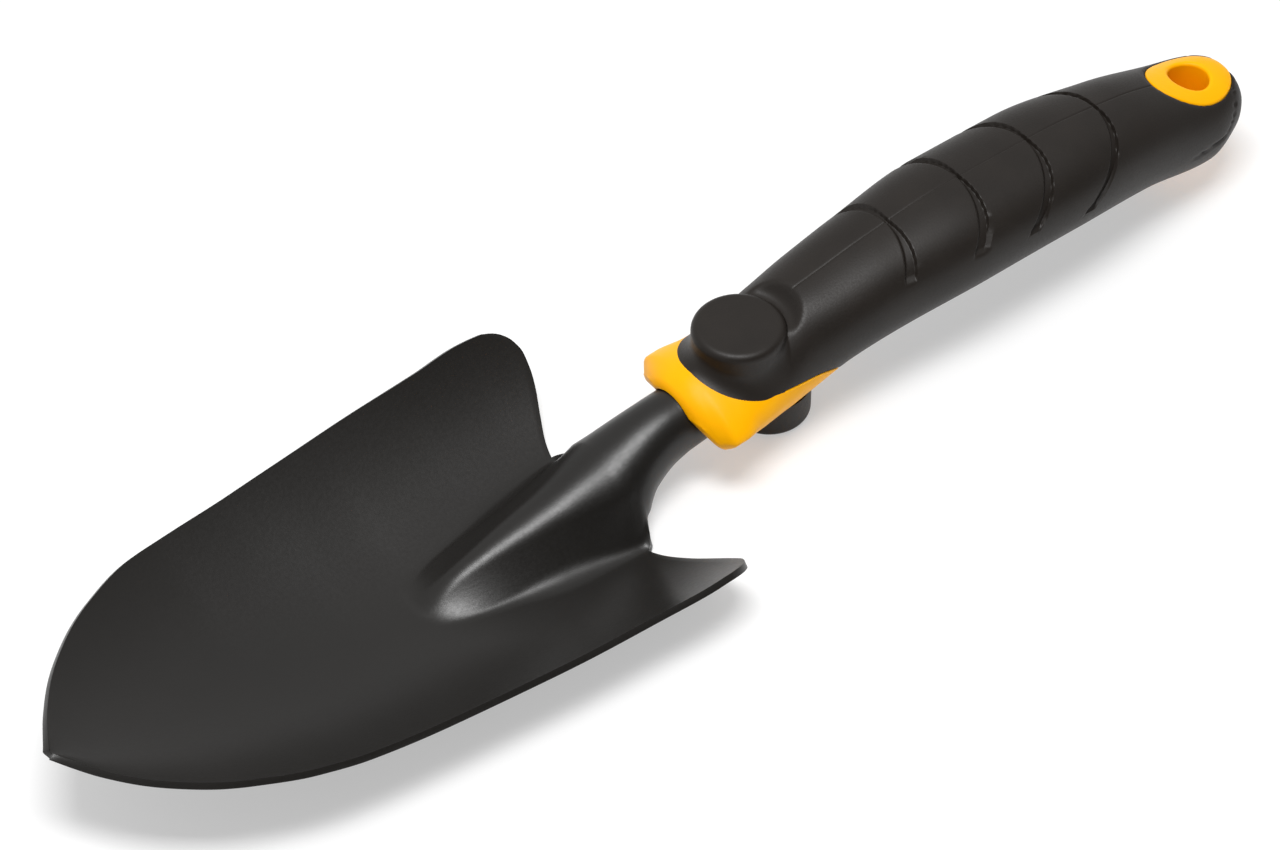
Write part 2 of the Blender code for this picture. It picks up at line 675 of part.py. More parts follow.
def make_cover():
    """Moulds the soft cover over the spine: grip with grooves, thumb rest and an oval opening for the eye."""
    cover = handle_form("grip_cover", FORM_SHARES, 0.0)
    combine(cover, collar_block("collar_room", -FIT_GAP / 2), "DIFFERENCE")
    combine(cover, thumb_rest("thumb_rest", 0.0), "UNION")
    combine(cover, handle_form("spine_room", SPINE_SHARES, COVER_WALL - FIT_GAP), "DIFFERENCE")
    combine(cover, eye_column("eye_room", FIT_GAP), "DIFFERENCE")
    for share, lean, end_height in GROOVES:
        combine(cover, groove_cutter(share, lean, end_height), "DIFFERENCE")
    return cover


def finish(piece, colour, roughness, metallic):
    """Gives a piece its own material and smooth shading with crisp edges."""
    material = bpy.data.materials.new(piece.name)
    material.use_nodes = True
    shader = material.node_tree.nodes["Principled BSDF"]
    shader.inputs["Base Color"].default_value = (*colour, 1.0)
    shader.inputs["Roughness"].default_value = roughness
    shader.inputs["Metallic"].default_value = metallic
    material.diffuse_color = (*colour, 1.0)
    piece.data.materials.clear()
    piece.data.materials.append(material)
    piece.data.shade_smooth()
    piece.data.set_sharp_from_angle(angle=SMOOTH_ANGLE)


def weight_and_moment(piece, density):
    """Weight of a piece and its first moment along X, from the volume under its triangles."""
    piece.data.calc_loop_triangles()
    weight = 0.0
    moment = 0.0
    for triangle in piece.data.loop_triangles:
        a, b, c = (piece.data.vertices[i].co for i in triangle.vertices)
        volume = a.dot(b.cross(c)) / 6
        weight += density * volume
        moment += density * volume * (a.x + b.x + c.x) / 4
    return weight, moment


def resting_edge(pieces, balance_x):
    """The two lowest points, seen from the side, that the tool rests on: one on each side of its balance."""
    points = sorted((v.co.x, v.co.z) for piece in pieces for v in piece.data.vertices)
    hull = []
    for point in points:
        while len(hull) > 1:
            (x0, z0), (x1, z1) = hull[-2], hull[-1]
            if (x1 - x0) * (point[1] - z0) - (z1 - z0) * (point[0] - x0) > 0:
                break
            hull.pop()
        hull.append(point)
    return next((a, b) for a, b in zip(hull, hull[1:]) if a[0] <= balance_x <= b[0])


def lay_on_ground(densities):
    """Parents the pieces to an empty that lays the tool on the ground, with the origin under its middle."""
    pieces = list(densities)
    sums = [weight_and_moment(piece, density) for piece, density in densities.items()]
    balance_x = sum(moment for weight, moment in sums) / sum(weight for weight, moment in sums)
    rear, front = resting_edge(pieces, balance_x)
    pitch = math.atan2(front[1] - rear[1], front[0] - rear[0])
    turn = Matrix.Rotation(pitch, 4, "Y")
    corners = [turn @ v.co for piece in pieces for v in piece.data.vertices]
    middle_x = (min(c.x for c in corners) + max(c.x for c in corners)) / 2
    ground = min(c.z for c in corners)
    tool_axis = bpy.data.objects.new("tool_axis", None)
    bpy.context.scene.collection.objects.link(tool_axis)
    tool_axis.rotation_euler = (0.0, pitch, 0.0)
    tool_axis.location = (-middle_x, 0.0, -ground)
    for piece in pieces:
        piece.parent = tool_axis


def main():
    """Makes the four pieces of the trowel and lays them on the ground."""
    for old in list(bpy.data.objects):
        bpy.data.objects.remove(old)
    blade = make_blade()
    core = make_core()
    cover = make_cover()
    stop = finger_stop_form("finger_stop", 0.0)
    finish(blade, *BLACK_PAINT)
    finish(core, *YELLOW_PLASTIC)
    finish(cover, *BLACK_RUBBER)
    finish(stop, *BLACK_RUBBER)
    lay_on_ground(
        {blade: STEEL_DENSITY, core: CORE_DENSITY, cover: RUBBER_DENSITY, stop: RUBBER_DENSITY}
    )


main()
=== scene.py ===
"""Planting trowel: a pressed, powder coated blade in a two-colour moulded handle, shown as it lies at rest.

Every piece is shaped along the tool's own axis: X runs from the butt of the handle to the tip of the blade,
and Z is 0 on the axis of the rolled neck where it leaves the handle. The mesh is then laid down as the tool
rests.
"""

import sys
import logging
import math
from bisect import bisect_right
from collections.abc import Callable, Iterable, Sequence
from dataclasses import dataclass, field
from enum import Enum

import bmesh
import bpy
from mathutils import Matrix, Vector


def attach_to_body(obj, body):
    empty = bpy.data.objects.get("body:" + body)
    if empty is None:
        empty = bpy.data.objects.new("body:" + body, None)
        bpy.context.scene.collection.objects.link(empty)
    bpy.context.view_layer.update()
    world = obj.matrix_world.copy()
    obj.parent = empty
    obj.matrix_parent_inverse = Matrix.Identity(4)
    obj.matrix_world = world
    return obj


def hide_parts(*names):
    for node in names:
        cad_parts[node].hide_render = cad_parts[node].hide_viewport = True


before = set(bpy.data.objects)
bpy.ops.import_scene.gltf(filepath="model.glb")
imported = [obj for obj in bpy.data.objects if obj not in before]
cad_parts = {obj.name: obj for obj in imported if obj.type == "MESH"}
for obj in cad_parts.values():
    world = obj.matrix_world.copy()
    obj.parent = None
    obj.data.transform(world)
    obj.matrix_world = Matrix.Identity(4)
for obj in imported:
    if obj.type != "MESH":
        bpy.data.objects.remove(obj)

log = logging.getLogger("trowel")

MM = 0.001
BODY = "root"

# The tool lies pitched a little, tip up, with the origin on the ground under its middle
PITCH = math.radians(-1.997043)
LYING_PLACE = Vector((-162.184, 0.0, 8.963)) * MM
LAID = Matrix.Translation(LYING_PLACE) @ Matrix.Rotation(PITCH, 4, "Y")

HALF_GAP = 0.15 * MM
TANG_GAP = 0.3 * MM
MERGE_DISTANCE = 0.002 * MM
LEAST_TURN = 1e-6
SMOOTH_ANGLE = math.radians(38.0)
QUARTER = math.pi / 2
FULL = 2 * math.pi
# Half the side of a flat grid one unit wide, whose corners are then moved to their places
GRID_HALF = 0.5


class Slot(Enum):
    """Finish slots of the record."""

    BLACK_PAINT = "black_paint"
    YELLOW_PLASTIC = "yellow_plastic"
    BLACK_RUBBER = "black_rubber"


class Combination(Enum):
    """Ways to combine a piece with another solid."""

    JOIN = "UNION"
    CUT = "DIFFERENCE"


def clamp(value: float, low: float = 0.0, high: float = 1.0) -> float:
    """Keeps a value between two limits."""
    return min(max(value, low), high)


def ease(share: float) -> float:
    """Turns a straight rise from 0 to 1 into one that starts and ends level."""
    share = clamp(share)
    return share * share * (3 - 2 * share)


def power(value: float, exponent: float) -> float:
    """Raises a signed value to a power and keeps its sign."""
    return math.copysign(abs(value) ** exponent, value)


def soft_least(one: float, other: float, reach: float) -> float:
    """Gives the smaller of two heights, with a rounded corner where they cross.

    Args:
        one: First height.
        other: Second height.
        reach: How far apart the heights are where the rounding starts.

    Returns:
        The blended smaller height.
    """
    overlap = max(reach - abs(one - other), 0.0) / reach
    return min(one, other) - overlap * overlap * reach / 4


@dataclass(frozen=True)
class Curve:
    """A smooth curve through rows of (position, value) that never overshoots them."""

    rows: tuple[tuple[float, float], ...]
    positions: list[float] = field(init=False, repr=False)
    tangents: list[float] = field(init=False, repr=False)

    def __post_init__(self) -> None:
        """Works out the slope of the curve at each row."""
        rows = self.rows
        slopes = [(b[1] - a[1]) / (b[0] - a[0]) for a, b in zip(rows, rows[1:])]
        tangents = [slopes[0]]
        for before, after in zip(slopes, slopes[1:]):
            tangents.append(0.0 if before * after <= 0 else 2 * before * after / (before + after))
        tangents.append(slopes[-1])
        object.__setattr__(self, "positions", [row[0] for row in rows])
        object.__setattr__(self, "tangents", tangents)

    def at(self, position: float) -> float:
        """Reads the curve at a position.

        Args:
            position: Where to read; beyond the ends the end value holds.

        Returns:
            The value there.
        """
        rows = self.rows
        if position <= rows[0][0]:
            return rows[0][1]
        if position >= rows[-1][0]:
            return rows[-1][1]
        span = bisect_right(self.positions, position) - 1
        (x0, y0), (x1, y1) = rows[span], rows[span + 1]
        width = x1 - x0
        t = (position - x0) / width
        rise = y0 * (1 + 2 * t) * (1 - t) ** 2 + y1 * t * t * (3 - 2 * t)
        lean = self.tangents[span] * t * (1 - t) ** 2 - self.tangents[span + 1] * t * t * (1 - t)
        return rise + lean * width


def column(table: Sequence[Sequence[float]], index: int) -> Curve:
    """Makes a curve from the first column of a table and one of its other columns."""
    return Curve(tuple((row[0], row[index]) for row in table))


def all_columns(table: Sequence[Sequence[float]]) -> list[Curve]:
    """Makes a curve from the first column of a table and each of its other columns."""
    return [column(table, index) for index in range(1, len(table[0]))]


def mapped_grid(rows: int, columns: int, place: Callable[[int, int], Vector]) -> bmesh.types.BMesh:
    """Starts from a flat grid and moves every corner to its place on the piece.

    Args:
        rows: Number of steps along the piece.
        columns: Number of steps across it, or round it.
        place: Gives the place of a corner from its row and column.

    Returns:
        The shaped mesh, with corners that meet merged.
    """
    bm = bmesh.new()
    bmesh.ops.create_grid(bm, x_segments=rows, y_segments=columns, size=GRID_HALF)
    for vert in bm.verts:
        row = round((vert.co.x + GRID_HALF) * rows)
        vert.co = place(row, round((vert.co.y + GRID_HALF) * columns))
    bmesh.ops.remove_doubles(bm, verts=bm.verts, dist=MERGE_DISTANCE)
    return bm


def spun(profile: Iterable[tuple[float, float]], centre: Vector, steps: int = 96) -> bmesh.types.BMesh:
    """Spins a profile about an upright axis.

    Args:
        profile: (radius, height) points from one end of the axis to the other.
        centre: Foot of the axis.
        steps: Number of steps round the axis.

    Returns:
        The closed turned mesh.
    """
    bm = bmesh.new()
    points = [bm.verts.new((radius, 0.0, height)) for radius, height in profile]
    edges = [bm.edges.new(pair) for pair in zip(points, points[1:])]
    bmesh.ops.spin(
        bm, geom=points + edges, cent=(0, 0, 0), axis=(0, 0, 1), angle=FULL, steps=steps, use_merge=True
    )
    bmesh.ops.remove_doubles(bm, verts=bm.verts, dist=MERGE_DISTANCE)
    bmesh.ops.translate(bm, verts=bm.verts, vec=centre)
    return bm


def linked_object(name: str, bm: bmesh.types.BMesh) -> bpy.types.Object:
    """Makes an object from a mesh as it is.

    Args:
        name: Name of the piece.
        bm: Its mesh, which is used up.

    Returns:
        The linked object.
    """
    mesh = bpy.data.meshes.new(name)
    bm.to_mesh(mesh)
    bm.free()
    piece = bpy.data.objects.new(name, mesh)
    bpy.context.scene.collection.objects.link(piece)
    return piece


def object_from(name: str, bm: bmesh.types.BMesh) -> bpy.types.Object:
    """Makes an object from a mesh, with its faces turned outwards."""
    bmesh.ops.recalc_face_normals(bm, faces=bm.faces)
    return linked_object(name, bm)


def settle_modifiers(piece: bpy.types.Object) -> None:
    """Turns what a piece's modifiers show into its own mesh.

    Args:
        piece: The piece to change.
    """
    bpy.context.view_layer.update()
    shown = piece.evaluated_get(bpy.context.evaluated_depsgraph_get())
    old = piece.data
    piece.data = bpy.data.meshes.new_from_object(shown)
    piece.modifiers.clear()
    bpy.data.meshes.remove(old)


def combine(piece: bpy.types.Object, other: bpy.types.Object, way: Combination) -> None:
    """Joins a piece with another solid, or cuts that solid out of it, and removes the other.

    Args:
        piece: The piece to change.
        other: The other solid.
        way: Whether the other solid is joined or cut out.
    """
    modifier = piece.modifiers.new(way.name, "BOOLEAN")
    modifier.operation = way.value
    modifier.solver = "EXACT"
    modifier.object = other
    settle_modifiers(piece)
    bpy.data.objects.remove(other)


def lay_down(piece: bpy.types.Object) -> None:
    """Moves a finished mesh to the place where the tool lies, and smooths its shading.

    Args:
        piece: The piece, shaped along the tool's own axis.
    """
    piece.data.transform(LAID)
    piece.data.shade_smooth()
    piece.data.set_sharp_from_angle(angle=SMOOTH_ANGLE)


def attach(piece: bpy.types.Object, node: str, slot: Slot, finish: bpy.types.Material) -> None:
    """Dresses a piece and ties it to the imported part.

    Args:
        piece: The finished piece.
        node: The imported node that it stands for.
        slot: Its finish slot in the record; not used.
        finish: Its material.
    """
    piece.data.materials.clear()
    piece.data.materials.append(finish)
    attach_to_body(piece, BODY)
    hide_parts(node)
    log.info("%s: %d faces, finish %s", piece.name, len(piece.data.polygons), finish.name)


@dataclass(frozen=True)
class Finish:
    """A solid finish with fine grain: two close colours, two roughness values and a bump from noise."""

    name: str
    colour: tuple[float, float, float]
    second_colour: tuple[float, float, float]
    roughness: tuple[float, float]
    specular: float
    grain_size: float
    grain_depth: float
    cloud_size: float = 14 * MM
    cloud_detail: float = 4.0
    grain_detail: float = 3.0
    grain_softness: float = 0.55
    noise_range: tuple[float, float] = (0.3, 0.7)

    def noise(self, nodes: bpy.types.Nodes, size: float, detail: float) -> bpy.types.Node:
        """Adds a noise with features of a given size.

        Args:
            nodes: Nodes of the material.
            size: Size of a feature in metres.
            detail: Octaves of finer detail.

        Returns:
            The noise node.
        """
        noise = nodes.new("ShaderNodeTexNoise")
        noise.inputs["Scale"].default_value = 1 / size
        noise.inputs["Detail"].default_value = detail
        noise.inputs["Roughness"].default_value = self.grain_softness
        return noise

    def ramp(self, nodes: bpy.types.Nodes, low: float, high: float) -> bpy.types.Node:
        """Adds a node that spreads the middle of a noise over a range.

        Args:
            nodes: Nodes of the material.
            low: Value at the dark end.
            high: Value at the light end.

        Returns:
            The range node.
        """
        spread = nodes.new("ShaderNodeMapRange")
        spread.inputs["From Min"].default_value = self.noise_range[0]
        spread.inputs["From Max"].default_value = self.noise_range[1]
        spread.inputs["To Min"].default_value = low
        spread.inputs["To Max"].default_value = high
        return spread

    def material(self) -> bpy.types.Material:
        """Builds the node material.

        Returns:
            The material.
        """
        made = bpy.data.materials.new(self.name)
        made.use_nodes = True
        tree = made.node_tree
        nodes, links = tree.nodes, tree.links
        shader = nodes["Principled BSDF"]
        place = nodes.new("ShaderNodeTexCoord")
        cloud = self.noise(nodes, self.cloud_size, self.cloud_detail)
        grain = self.noise(nodes, self.grain_size, self.grain_detail)
        for noise in (cloud, grain):
            links.new(place.outputs["Object"], noise.inputs["Vector"])
        blend = self.ramp(nodes, 0.0, 1.0)
        links.new(cloud.outputs["Fac"], blend.inputs["Value"])
        mix = nodes.new("ShaderNodeMix")
        mix.data_type = "RGBA"
        mix.inputs["A"].default_value = (*self.colour, 1.0)
        mix.inputs["B"].default_value = (*self.second_colour, 1.0)
        links.new(blend.outputs["Result"], mix.inputs["Factor"])
        links.new(mix.outputs["Result"], shader.inputs["Base Color"])
        gloss = self.ramp(nodes, *self.roughness)
        links.new(grain.outputs["Fac"], gloss.inputs["Value"])
        links.new(gloss.outputs["Result"], shader.inputs["Roughness"])
        bump = nodes.new("ShaderNodeBump")
        bump.inputs["Distance"].default_value = self.grain_depth
        links.new(grain.outputs["Fac"], bump.inputs["Height"])
        links.new(bump.outputs["Normal"], shader.inputs["Normal"])
        shader.inputs["Specular IOR Level"].default_value = self.specular
        made.diffuse_color = (*self.colour, 1.0)
        return made


POWDER_COAT = Finish(
    name="satin powder coat",
    colour=(0.0085, 0.0076, 0.0066),
    second_colour=(0.0110, 0.0098, 0.0086),
    roughness=(0.32, 0.38),
    specular=0.45,
    grain_size=0.8 * MM,
    grain_depth=0.016 * MM,
    cloud_size=45 * MM,
)
MOULDED_PLASTIC = Finish(
    name="semi-gloss yellow plastic",
    colour=(1.0, 0.43, 0.0),
    second_colour=(1.0, 0.465, 0.0),
    roughness=(0.34, 0.42),
    specular=0.12,
    grain_size=1.1 * MM,
    grain_depth=0.012 * MM,
)
SOFT_GRIP = Finish(
    name="matte soft grip",
    colour=(0.0112, 0.0085, 0.0066),
    second_colour=(0.0148, 0.0114, 0.0090),
    roughness=(0.42, 0.52),
    specular=0.30,
    grain_size=0.45 * MM,
    grain_depth=0.025 * MM,
    cloud_size=9 * MM,
)


@dataclass
class PressedBlade:
    """The pressed sheet: tang and neck rolled from it, the rib pressed into it, the dish and shoulders."""

    handle_length: float = 162.5 * MM
    neck_length: float = 20.0 * MM
    blade_length: float = 141.45 * MM
    tang_length: float = 74.0 * MM
    sheet: float = 1.5 * MM
    edge_rounding: float = 0.5 * MM
    edge_segments: int = 3
    edge_angle: float = math.radians(50.0)
    neck_radius: float = 7.6 * MM
    tang_radius: float = 4.6 * MM
    taper_start: float = 7.5 * MM
    taper_length: float = 16.0 * MM
    tang_rise: float = 0.17
    seam_gap: float = 1.2 * MM
    half_width: float = 45.0 * MM
    notch_half_width: float = 17.6 * MM
    shoulder_reach: float = 8.4 * MM
    shoulder_fade: float = 35.0 * MM
    dish_floor: float = -15.6 * MM
    rib_length: float = 50.0 * MM
    back_turn: float = math.radians(53.0)
    flare_share: float = 0.2
    room_past: float = 3.0 * MM
    room_rows: int = 40
    room_sides: int = 64
    rib_columns: int = 44
    wing_columns: int = 34
    tang_rows: int = 26
    neck_rows: int = 34
    blade_rows: int = 128
    tip_crowding: float = 1.35
    rim_crowding: float = 1.5
    # Share of the neck, widening and sinking of its round back (mm), how far its sides stay rolled in, and by
    # how much its section is shorter than the tube's from crown to edge (mm)
    neck_sections: tuple[tuple[float, ...], ...] = (
        (0.000, 0.0, 0.4, 1.0, 0.0),
        (0.200, 0.2, 1.1, 0.95, 0.6),
        (0.500, 1.2, 3.5, 0.9, 1.9),
        (0.800, 2.9, 7.3, 0.51, 3.7),
        (1.000, 3.9, 9.7, 0.0, 1.8),
    )
    # Share of the rib, drop of its crest, half width of its foot (mm), slope of its flank as a multiple of
    # the straight slope from crest to foot, share of its round back in its roundings
    rib_sections: tuple[tuple[float, ...], ...] = (
        (0.000, 0.0, 18.4, 1.45, 0.74),
        (0.070, 1.4, 18.5, 1.45, 0.69),
        (0.130, 2.55, 18.5, 1.44, 0.62),
        (0.240, 4.4, 18.3, 1.45, 0.51),
        (0.370, 6.05, 17.5, 1.45, 0.44),
        (0.500, 7.6, 15.6, 1.39, 0.44),
        (0.590, 8.8, 13.7, 1.31, 0.5),
        (0.670, 10.0, 12.5, 1.26, 0.52),
        (0.750, 11.2, 11.4, 1.23, 0.54),
        (0.830, 12.8, 10.5, 1.26, 0.52),
        (0.910, 14.9, 9.5, 1.38, 0.5),
        (0.970, 16.6, 8.4, 1.42, 0.46),
        (1.000, 17.3, 7.6, 1.42, 0.46),
    )
    # Distance back from the tip (mm), share of the half width, height of the rim (mm)
    rim: tuple[tuple[float, ...], ...] = (
        (0.0, 0.013, 5.0),
        (2.4, 0.110, 4.8),
        (5.9, 0.232, 4.5),
        (11.8, 0.393, 4.3),
        (17.7, 0.512, 4.1),
        (23.6, 0.609, 3.9),
        (29.5, 0.682, 3.7),
        (41.4, 0.792, 3.0),
        (53.2, 0.845, 1.7),
        (71.0, 0.892, 0.9),
        (88.6, 0.932, 1.0),
        (106.0, 0.967, 1.3),
        (124.0, 0.989, 1.8),
        (135.0, 1.006, 2.4),
        (141.6, 0.998, 2.3),
    )
    # Distance back from the tip, height above the lowest floor (mm), power of the curve from floor to rim
    floor: tuple[tuple[float, ...], ...] = (
        (0.0, 20.2, 2.0),
        (8.0, 16.8, 2.0),
        (20.0, 12.3, 2.0),
        (35.0, 7.8, 2.0),
        (54.0, 3.8, 2.0),
        (79.0, 0.9, 2.0),
        (97.0, 0.1, 2.1),
        (120.0, 0.1, 2.4),
        (141.6, 0.1, 2.6),
    )
    # Distance out from the middle as a share of the half width, share of the shoulder's reach
    shoulder: tuple[tuple[float, ...], ...] = (
        (0.392, 0.00),
        (0.468, 0.13),
        (0.609, 0.50),
        (0.728, 0.82),
        (0.800, 0.95),
        (0.870, 1.0),
        (0.930, 0.87),
        (0.965, 0.66),
        (0.985, 0.44),
        (1.000, 0.14),
    )

    def __post_init__(self) -> None:
        """Turns the tables into curves and finds the ends of each part of the sheet."""
        self.neck_end = self.handle_length + self.neck_length
        self.tip = self.neck_end + self.blade_length
        self.tang_end = self.handle_length - self.tang_length
        self.neck_curves = all_columns(self.neck_sections)
        self.rib_curves = all_columns(self.rib_sections)
        self.rim_width, self.rim_height = all_columns(self.rim)
        self.floor_height, self.dish_power = all_columns(self.floor)
        self.shoulder_curve = column(self.shoulder, 1)

    def tang_centre(self, x: float) -> float:
        """Height of the tang's axis, which rises towards the butt inside the handle."""
        return max(self.handle_length - x, 0.0) * self.tang_rise - self.neck_sections[0][2] * MM

    def roll_radius(self, x: float) -> float:
        """Outer radius of the rolled sheet inside the handle."""
        share = ease((self.handle_length - self.taper_start - x) / self.taper_length)
        return self.neck_radius + (self.tang_radius - self.neck_radius) * share

    def rolled(self, x: float, share: float) -> Vector:
        """A corner of the rolled tang.

        Args:
            x: Place along the tool.
            share: 0 at its crown, 1 at its seam.

        Returns:
            The corner.
        """
        radius = self.roll_radius(x)
        angle = share * (math.pi - self.seam_gap / 2 / radius)
        return Vector((x, radius * math.sin(angle), self.tang_centre(x) + radius * math.cos(angle)))

    def half_width_at(self, x: float) -> float:
        """Half width of the blade's rim at a place along it."""
        return self.half_width * self.rim_width.at((self.tip - x) / MM)

    def dish(self, x: float, y: float) -> float:
        """Height of the dish without its rib.

        Args:
            x: Place along the tool.
            y: Distance out from its middle.

        Returns:
            The height of the upper face.
        """
        back = (self.tip - x) / MM
        floor = self.dish_floor + self.floor_height.at(back) * MM
        rim = self.rim_height.at(back) * MM
        return floor + (rim - floor) * abs(y / self.half_width_at(x)) ** self.dish_power.at(back)

    def lift(self, x: float, y: float) -> float:
        """Height of the rib above the dish: a round back, a straight flank and a hollow foot.

        Args:
            x: Place along the tool.
            y: Distance out from its middle.

        Returns:
            The height that the rib adds.
        """
        along = (x - self.neck_end) / self.rib_length
        drop, foot, fullness, back_share = (curve.at(along) for curve in self.rib_curves)
        foot *= MM
        rise = sum(self.neck_back(1.0)) - drop * MM - self.dish(x, 0.0)
        if along >= 1 or rise <= 0 or y >= foot:
            return 0.0
        slope = fullness * math.atan2(rise, foot)
        roundings = (foot * math.sin(slope) - rise * math.cos(slope)) / (1 - math.cos(slope))
        back, hollow = roundings * back_share, roundings * (1 - back_share)
        if y <= back * math.sin(slope):
            return rise - back + math.sqrt(back * back - y * y)
        if y >= foot - hollow * math.sin(slope):
            return hollow - math.sqrt(hollow * hollow - (foot - y) ** 2)
        return rise - back * (1 - math.cos(slope)) - (y - back * math.sin(slope)) * math.tan(slope)

    def neck_back(self, along: float) -> tuple[float, float]:
        """Radius of the neck's round back and height of its centre."""
        widening, sinking = (curve.at(along) * MM for curve in self.neck_curves[:2])
        return self.neck_radius + widening, -sinking

    def neck(self, along: float, share: float) -> Vector:
        """A corner of the neck: a round back, then a side that is less and less rolled in.

        Args:
            along: Share of the neck's length.
            share: 0 at its crown, 1 at its edge.

        Returns:
            The corner.
        """
        x = self.handle_length + self.neck_length * along
        radius, centre = self.neck_back(along)
        rolled_in, shorter = (curve.at(along) for curve in self.neck_curves[2:])
        path = share * (math.pi * self.neck_radius - self.seam_gap / 2 - shorter * MM)
        angle = min(path / radius, self.back_turn)
        y, z = radius * math.sin(angle), centre + radius * math.cos(angle)
        rest = path - radius * angle
        turn = rest * rolled_in / radius
        if turn > LEAST_TURN:
            y += (math.sin(angle + turn) - math.sin(angle)) * rest / turn
            z -= (math.cos(angle) - math.cos(angle + turn)) * rest / turn
        else:
            y += rest * math.cos(angle)
            z -= rest * math.sin(angle)
        inner = self.notch_half_width * self.half_width_at(self.neck_end) / self.half_width
        drop = centre + radius - sum(self.neck_back(1.0))
        opened = Vector((x, share * inner, self.height(self.neck_end, share * inner) + drop * (1 - share)))
        flare = ease((along - (1 - self.flare_share)) / self.flare_share)
        return Vector((x, y, z)).lerp(opened, flare)

    def height(self, x: float, y: float) -> float:
        """Height of the blade's upper face."""
        return self.dish(x, y) + self.lift(x, y)

    def wing(self, row_x: float, share: float) -> Vector:
        """A corner of the blade.

        Args:
            row_x: Place of its row along the tool.
            share: Up to 1 across the rib, from 1 to 2 across the wing to the rim.

        Returns:
            The corner.
        """
        widest = self.half_width_at(row_x)
        inner = self.notch_half_width * widest / self.half_width
        if share <= 1:
            return Vector((row_x, share * inner, self.height(row_x, share * inner)))
        fade = max(0.0, 1 - (row_x - self.neck_end) / self.shoulder_fade) ** 2
        y = inner + (share - 1) * (widest - inner)
        x = row_x - self.shoulder_curve.at(y / widest) * self.shoulder_reach * fade
        return Vector((x, y, self.height(max(x, self.neck_end), y)))

    def corner(self, row: int, column_index: int) -> Vector:
        """Place of a corner of the flat sheet on the pressed one.

        Args:
            row: Row of the sheet, from the end of the tang to the tip.
            column_index: Column of the sheet, from one rim to the other.

        Returns:
            The place on the upper face.
        """
        columns = self.rib_columns + self.wing_columns
        offset = column_index - columns
        step = abs(offset)
        if step <= self.rib_columns:
            share = step / self.rib_columns
        else:
            share = 2 - (1 - (step - self.rib_columns) / self.wing_columns) ** self.rim_crowding
        if row < self.tang_rows:
            x = self.tang_end + self.tang_length * row / self.tang_rows
            point = self.rolled(x, min(share, 1.0))
        elif row < self.tang_rows + self.neck_rows:
            point = self.neck((row - self.tang_rows) / self.neck_rows, min(share, 1.0))
        else:
            along = (row - self.tang_rows - self.neck_rows) / self.blade_rows
            x = self.neck_end + self.blade_length * (1 - (1 - along) ** self.tip_crowding)
            point = self.wing(x, share)
        return Vector((point.x, math.copysign(point.y, offset), point.z))

    def build(self, finish: bpy.types.Material) -> bpy.types.Object:
        """Presses the sheet from a flat grid, cuts the shoulders free of the neck and gives it its thickness.

        Args:
            finish: Material of the coat.

        Returns:
            The blade.
        """
        columns = self.rib_columns + self.wing_columns
        rows = self.tang_rows + self.neck_rows + self.blade_rows
        bm = bmesh.new()
        bmesh.ops.create_grid(bm, x_segments=rows, y_segments=2 * columns, size=GRID_HALF)
        places = {
            v: (round((v.co.x + GRID_HALF) * rows), round((v.co.y + GRID_HALF) * 2 * columns))
            for v in bm.verts
        }
        waste = [
            v
            for v, (row, across) in places.items()
            if row < self.tang_rows + self.neck_rows and abs(across - columns) > self.rib_columns
        ]
        for vert, (row, across) in places.items():
            vert.co = self.corner(row, across)
        bmesh.ops.delete(bm, geom=waste, context="VERTS")
        bmesh.ops.recalc_face_normals(bm, faces=bm.faces)
        if sum((f.normal.z for f in bm.faces), 0.0) < 0:
            bmesh.ops.reverse_faces(bm, faces=bm.faces)
        blade = linked_object("pressed_blade", bm)
        wall = blade.modifiers.new("Sheet", "SOLIDIFY")
        wall.thickness = self.sheet
        wall.offset = -1.0
        wall.use_quality_normals = True
        edge = blade.modifiers.new("Rounded edge", "BEVEL")
        edge.width = self.edge_rounding
        edge.segments = self.edge_segments
        edge.limit_method = "ANGLE"
        edge.angle_limit = self.edge_angle
        settle_modifiers(blade)
        lay_down(blade)
        attach(blade, "blade", Slot.BLACK_PAINT, finish)
        return blade

    def tang_room(self, grow: float) -> bpy.types.Object:
        """A closed round solid that follows the tang, to cut its seat.

        Args:
            grow: How much larger than the tang it is.

        Returns:
            The cutting solid.
        """
        reach = self.tang_length + self.room_past
        stations = [self.tang_end - grow + reach * i / self.room_rows for i in range(self.room_rows + 1)]
        sides = self.room_sides

        def place(row: int, across: int) -> Vector:
            """Place of a corner of the solid.

            Args:
                row: Row along it; the first and the last are its poles.
                across: Step round it.

            Returns:
                The place.
            """
            x = stations[min(max(row - 1, 0), len(stations) - 1)]
            radius = 0.0 if row in (0, len(stations) + 1) else self.roll_radius(x) + grow
            angle = FULL * across / sides
            return Vector((x, radius * math.cos(angle), self.tang_centre(x) + radius * math.sin(angle)))

        return object_from("tang_room", mapped_grid(len(stations) + 1, sides, place))


@dataclass(frozen=True)
class Groove:
    """A groove over the grip.

    Its share is the share of the handle's length where it crosses the top, its lean is the distance along the
    handle per unit of height, and its end height (mm) is where it runs out on the side of the grip.
    """

    share: float
    lean: float
    end_height: float


